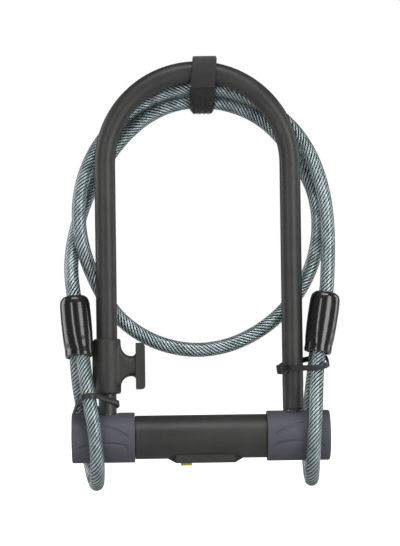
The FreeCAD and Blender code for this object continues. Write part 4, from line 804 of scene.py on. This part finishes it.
def boot_ring(foot, up, pair, height, along, across, sides, tilt=0.0):
    """Oval ring of a boot at a height above its mouth; tilt lowers its front."""
    third = np.cross(up, pair)
    turns = np.linspace(0, 2 * math.pi, sides, endpoint=False)
    cosine, sine = np.cos(turns)[:, None], np.sin(turns)[:, None]
    level = height - tilt * cosine
    return foot + level * up + along * cosine * pair + across * sine * third


def boot(side):
    """Glossy dipped boot: rounded shoulders, slight ripples near the mouth, a thin lip."""
    foot, _, up, pair = boot_frame(side)
    stations = [(0.0, 11.6, 9.2), (0.5, 11.8, 9.4), (2.0, 11.75, 9.45), (5.0, 11.6, 9.5),
                (9.0, 11.25, 9.9), (14.0, 11.0, 10.3), (20.0, 10.8, 10.5), (26.0, 10.7, 10.6),
                (32.0, 10.6, 10.55), (37.0, 10.4, 10.4), (39.5, 10.0, 10.0), (41.0, 9.3, 9.3),
                (42.2, 8.1, 8.1), (42.8, 6.9, 6.9), (43.0, 5.9, 5.9)]
    heights = np.array([row[0] for row in stations])
    fine = np.unique(np.concatenate([np.linspace(0, 43, 90), heights]))
    rings = []
    sides = 72
    for height in (6.0, 0.9, 0.0):
        rings.append(boot_ring(foot, up, pair, height, 10.7, 8.5, sides, 0.5 * (height < 1)))
    for height in fine:
        along = np.interp(height, heights, [row[1] for row in stations])
        across = np.interp(height, heights, [row[2] for row in stations])
        fade = math.exp(-height / 12.0)
        ripple = 1 + 0.011 * fade * math.sin(height * 0.8)
        lean = 0.5 * max(0.0, 1 - height / 8)
        rings.append(boot_ring(foot, up, pair, height, along * ripple, across * ripple, sides, lean))
    for height, radius in ((42.6, 5.35), (41.9, 5.25), (38.0, 5.3)):
        rings.append(boot_ring(foot, up, pair, height, radius, radius, sides))
    verts = np.concatenate(rings)
    item = mesh_object("boot_skin_" + side, verts, grid_faces(len(rings), sides, close_rows=True), sharp=60)
    dress_piece(item, LOOKS["boot_vinyl"], "crossbar", "boot_vinyl", "boot_" + side)


# ---------------------------------------------------------------- strap and cable ties

def belt_points(circles, grow, step=0.6):
    """Closed line pulled tight round circles (x, y, radius), listed counter-clockwise."""
    legs = []
    count = len(circles)
    for index in range(count):
        x, y, radius = circles[index]
        next_x, next_y, next_radius = circles[(index + 1) % count]
        along = np.array([next_x - x, next_y - y])
        length = np.linalg.norm(along)
        along /= length
        sine = (radius - next_radius) / length
        out = np.array([along[1], -along[0]])
        normal = along * sine + out * math.sqrt(1 - sine * sine)
        legs.append((np.array([x, y]) + normal * (radius + grow),
                     np.array([next_x, next_y]) + normal * (next_radius + grow), normal))
    points = []
    for index, (leave, arrive, normal) in enumerate(legs):
        pieces = max(int(np.linalg.norm(arrive - leave) / step), 2)
        points += [leave + (arrive - leave) * share for share in np.linspace(0, 1, pieces)[:-1]]
        x, y, radius = circles[(index + 1) % count]
        next_normal = legs[(index + 1) % count][2]
        start = math.atan2(normal[1], normal[0])
        turn = (math.atan2(next_normal[1], next_normal[0]) - start) % (2 * math.pi)
        pieces = max(int(turn * (radius + grow) / step), 3)
        for angle in np.linspace(start, start + turn, pieces)[:-1]:
            points.append(np.array([x, y]) + (radius + grow) * np.array([math.cos(angle), math.sin(angle)]))
    return np.array(points)


STRAP_X = 4.4
STRAP_HALF = 8.5
STRAP_CIRCLES = ((15.6, 235.15, 5.85), (0.0, 255.9, 7.8))


def strap_band(line, thick, half, closed):
    """Flat tape along a line in the YZ plane; it leans to the right towards its top."""
    height = line[:, 1]
    centre = STRAP_X + 1.6 * np.clip((height - 240.0) / 24.0, 0, 1) ** 1.5
    inset = 1.6 * np.clip((233.5 - height) / 3.5, 0, 1) ** 2
    rings = []
    for narrow in inset:
        wide = half - narrow
        rings.append(rounded_profile([(-wide, -thick / 2, 0.35), (wide, -thick / 2, 0.35),
                                      (wide, thick / 2, 0.35), (-wide, thick / 2, 0.35)], 3))
    path = np.stack([np.zeros(len(line)), line[:, 0], line[:, 1]], 1)
    verts, faces = sweep(path, np.array(rings), side=(1, 0, 0), closed=closed)
    verts[:, 0] += np.repeat(centre, len(rings[0]))
    return verts, faces


def fibre(root, way, reach, thick):
    """One short curled thread as a three-sided sliver."""
    wander = np.array([random.uniform(-0.3, 0.3) for _ in range(3)])
    bend = root + unit(way) * reach * 0.5 + wander
    tip_point = root + unit(way) * reach + wander * 0.4
    across = unit(np.cross(way, (random.random(), random.random(), 1.3))) * thick
    other = unit(np.cross(way, across)) * thick
    corners = [root + across, root - across, root + other,
               bend + across * 0.8, bend - across * 0.8, bend + other * 0.8, tip_point]
    sides = [(0, 1, 2), (0, 1, 4, 3), (1, 2, 5, 4), (2, 0, 3, 5), (3, 4, 6), (4, 5, 6), (5, 3, 6)]
    return corners, sides


def strap_fuzz(line):
    """Curled fibres standing off the pile side of the strap, leaning outwards at its edges."""
    parts = []
    middle = line.mean(axis=0)
    for _ in range(3600):
        y, z = line[random.randrange(len(line))]
        out = unit((y - middle[0], z - middle[1]))
        at_edge = random.random() < 0.35
        across = random.choice((-1, 1)) if at_edge else random.uniform(-0.95, 0.95)
        x = STRAP_X + across * (STRAP_HALF - 1.6 * max(0.0, (233.5 - z) / 3.5) ** 2)
        way = np.array([random.uniform(-0.6, 0.6) + (0.9 * across if at_edge else 0),
                        out[0] + random.uniform(-0.6, 0.6), out[1] + random.uniform(-0.6, 0.6)])
        root = np.array([x, y + 0.3 * out[0], z + 0.3 * out[1]])
        parts.append(fibre(root, way, random.uniform(0.9, 1.9), random.uniform(0.06, 0.11)))
    return joined(*parts)


def hook_strap():
    """Pile tape all the way round, with the smooth tape over its top and upper front."""
    around = belt_points(STRAP_CIRCLES, 1.0)
    item = mesh_object("strap_pile", *strap_band(around, 1.2, STRAP_HALF, True))
    dress_piece(item, LOOKS["pile"], "shackle", "webbing", "hook_strap")
    low = around[:, 1] < 244.5
    fuzz = mesh_object("strap_fuzz", *strap_fuzz(around[low]), sharp=180)
    dress_piece(fuzz, LOOKS["loose_fibre"], "shackle", "webbing")
    over = belt_points(STRAP_CIRCLES, 2.15)
    start = int(np.argmin(np.hypot(over[:, 0] - 9.5, over[:, 1] - 252.5)))
    over = np.roll(over, -start, axis=0)
    front_end = int(np.argmax((over[:, 0] < 0) & (over[:, 1] < 243.9)))
    tape = mesh_object("strap_tape", *strap_band(over[:front_end], 1.0, STRAP_HALF - 0.35, False))
    dress_piece(tape, LOOKS["webbing"], "shackle", "webbing")


def pile_look():
    look, tree, shader = new_look("loop_pile")
    curls = noise_node(tree, 1500, 6.0)
    shades = ((0.35, (0.008, 0.008, 0.008)), (0.7, (0.028, 0.027, 0.026)))
    ramp = ramp_node(tree, curls.outputs["Fac"], shades)
    tree.links.new(ramp.outputs["Color"], shader.inputs["Base Color"])
    shader.inputs["Roughness"].default_value = 0.95
    shader.inputs["Sheen Weight"].default_value = 0.15
    add_bump(tree, shader, curls.outputs["Fac"], 0.9, 0.3)
    return look


LOOKS["pile"] = pile_look()
LOOKS["loose_fibre"] = surface("loose_fibre", (0.02, 0.02, 0.02), (0.16, 0.155, 0.15), (0.6, 0.8), 700, 0.1)
# painted shade: the core is coloured dark so the gaps between the strands read as shade
LOOKS["rope_core"] = surface("rope_core", (0.045, 0.052, 0.052), (0.08, 0.09, 0.09), (0.5, 0.7), 900, 0.3)

TIES = {
    "left": ((29.2, 0.098, -0.29), BAR_R, (-69.5, 12.8), (0.59, 0.81)),
    "right": ((39.9, 0.14, 0.2), COAT_R, (56.6, -7.5), (-0.74, -0.68)),
}


def tie_crossings(line, plane):
    """Where a cable passes a tie's plane, with the level radius it needs there."""
    level, slope_x, slope_y = plane
    over = line[:, 2] - (level + slope_x * line[:, 0] + slope_y * line[:, 1])
    found = []
    for index in np.nonzero(over[1:] * over[:-1] < 0)[0]:
        way = unit(line[index + 1] - line[index])
        lean = math.acos(min(abs(way[2]), 1))
        found.append((line[index][0], line[index][1], CABLE_R / math.cos(lean) + 1.9 * math.tan(lean)))
    return found


def cable_tie(side):
    """Nylon band with a ratchet head, its cut tail and fine teeth on the band."""
    plane, leg_radius, head, out = TIES[side]
    level, slope_x, slope_y = plane
    crossings = tie_crossings(spline(eye_points(side), 0.5), plane)
    front, rear = crossings[0], crossings[1]
    leg_x = LEG_X * (-1 if side == "left" else 1)
    leg = (leg_x, 0, leg_radius)
    circles = counter_clockwise([leg, front, rear])
    flat = belt_points(circles, 1.35, 0.35)
    path = np.stack([flat[:, 0], flat[:, 1], level + slope_x * flat[:, 0] + slope_y * flat[:, 1]], 1)
    normal = unit((-slope_x, -slope_y, 1))
    section = rounded_profile([(-1.9, -0.6, 0.3), (1.9, -0.6, 0.3), (1.9, 0.6, 0.3), (-1.9, 0.6, 0.3)], 3)
    rings = np.repeat(section[None], len(path), axis=0)
    teeth = 0.12 * (np.arange(len(path)) % 3 == 0)
    rings[:, :, 1] *= (1 + teeth)[:, None]
    band = sweep(path, rings, side=normal, closed=True)
    outward = np.array([out[0], out[1], 0])
    outward = unit(outward - normal * np.dot(outward, normal))
    sideways = np.cross(normal, outward)
    centre = np.array([head[0], head[1], level + slope_x * head[0] + slope_y * head[1]])
    outline = rounded_profile([(-2.8, -3.2, 0.5), (2.4, -3.0, 1.0), (2.4, 3.0, 1.0), (-2.8, 3.2, 0.5)])
    block_verts, block_faces = slab(outline, -3.0, 3.0, "xy")
    tail_outline = rounded_profile([(0.4, 0, 0), (1.6, 0, 0), (1.6, 5.0, 0.2), (0.4, 4.7, 0.2)])
    tail_verts, tail_faces = slab(tail_outline, -1.9, 1.9, "xy")
    verts, faces = joined((block_verts, block_faces), (tail_verts, tail_faces))
    placed = centre + verts[:, :1] * outward + verts[:, 1:2] * sideways + verts[:, 2:] * normal
    ring = mesh_object("tie_band_" + side, *band)
    dress_piece(ring, LOOKS["nylon"], "crossbar", "nylon", "cable_tie_" + side)
    lock = bevel(mesh_object("tie_head_" + side, placed, faces), 0.35)
    dress_piece(lock, LOOKS["nylon"], "crossbar", "nylon")


def counter_clockwise(circles):
    """Three circles in counter-clockwise order."""
    (ax, ay, _), (bx, by, _), (cx, cy, _) = circles
    turn = (bx - ax) * (cy - ay) - (by - ay) * (cx - ax)
    return circles if turn > 0 else circles[::-1]


# ---------------------------------------------------------------- stage

def studio():
    """Pale floor, white surroundings and soft lights in front."""
    floor_mesh = bpy.data.meshes.new("floor")
    reach, level = 4.0, -0.0385
    floor_mesh.from_pydata([(-reach, -reach, level), (reach, -reach, level), (reach, reach, level),
                            (-reach, reach, level)], [], [(0, 1, 2, 3)])
    floor = bpy.data.objects.new("floor", floor_mesh)
    scene.collection.objects.link(floor)
    look = surface("pale_floor", (0.86, 0.86, 0.86), (0.90, 0.90, 0.90), (0.7, 0.8), 60, 0.02)
    sight = look.node_tree.nodes.new("ShaderNodeLightPath")
    glow = look.node_tree.nodes["Principled BSDF"]
    glow.inputs["Emission Color"].default_value = (1, 1, 1, 1)
    look.node_tree.links.new(sight.outputs["Is Camera Ray"], glow.inputs["Emission Strength"])
    floor_mesh.materials.append(look)
    world = bpy.data.worlds.new("studio")
    scene.world = world
    world.use_nodes = True
    tree = world.node_tree
    back = tree.nodes["Background"]
    back.inputs["Color"].default_value = (1, 1, 1, 1)
    back.inputs["Strength"].default_value = 1.0
    soft = tree.nodes.new("ShaderNodeBackground")
    soft.inputs["Color"].default_value = (0.95, 0.97, 1.0, 1)
    soft.inputs["Strength"].default_value = 0.16
    path = tree.nodes.new("ShaderNodeLightPath")
    mix = tree.nodes.new("ShaderNodeMixShader")
    tree.links.new(path.outputs["Is Camera Ray"], mix.inputs["Fac"])
    tree.links.new(soft.outputs["Background"], mix.inputs[1])
    tree.links.new(back.outputs["Background"], mix.inputs[2])
    tree.links.new(mix.outputs["Shader"], tree.nodes["World Output"].inputs["Surface"])
    lights = (
        ("left_box", (-0.85, -1.45, 0.35), 0.30, 1.1, 5.5),
        ("rim_box", (-1.55, 0.45, 0.45), 0.90, 1.3, 9.0),
        ("right_rim_box", (1.55, 0.45, 0.45), 0.60, 1.3, 6.0),
        ("right_box", (0.98, -1.30, 0.40), 0.80, 1.1, 12.5),
        ("top_box", (0.0, -0.75, 1.45), 1.3, 0.7, 12.0),
    )
    for name, place, width, height, power in lights:
        lamp = bpy.data.lights.new(name, "AREA")
        lamp.shape = "RECTANGLE"
        lamp.size = width
        lamp.size_y = height
        lamp.energy = power
        item = bpy.data.objects.new(name, lamp)
        scene.collection.objects.link(item)
        item.location = place
        aim = Vector((0, 0, 0.11)) - Vector(place)
        item.rotation_euler = aim.to_track_quat("-Z", "Y").to_euler()
    scene.view_settings.view_transform = "Standard"


def camera():
    """Slightly left of and below the object's middle, far away, rolled a little."""
    azimuth, elevation, roll = math.radians(-1.386), math.radians(-1.563), math.radians(-0.759)
    back = Vector((math.sin(azimuth) * math.cos(elevation), -math.cos(azimuth) * math.cos(elevation),
                   math.sin(elevation)))
    lens = bpy.data.cameras.new("camera")
    lens.lens = 169.7
    lens.shift_x = 0.0023
    lens.shift_y = -0.0020
    lens.clip_end = 20
    item = bpy.data.objects.new("camera", lens)
    scene.collection.objects.link(item)
    item.location = Vector((0, 0, 0.115)) + back * 1.8
    aim = (-back).to_track_quat("-Z", "Y")
    item.rotation_euler = (aim @ Quaternion((0, 0, 1), roll)).to_euler()
    scene.camera = item


dress_cad_nodes()
shackle_coating()
leg_seals()
crossbar_sleeve()
end_cap("left", -1)
end_cap("right", 1)
keyway_shroud()
dust_cover()
bracket()
cable("eye_left", eye_points("left"), "crossbar")
cable("eye_right", eye_points("right"), "crossbar")
for piece in cable("coil", coil_points(), None):
    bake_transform(piece)
boot("left")
boot("right")
cable_tie("left")
cable_tie("right")
hook_strap()
studio()
camera()
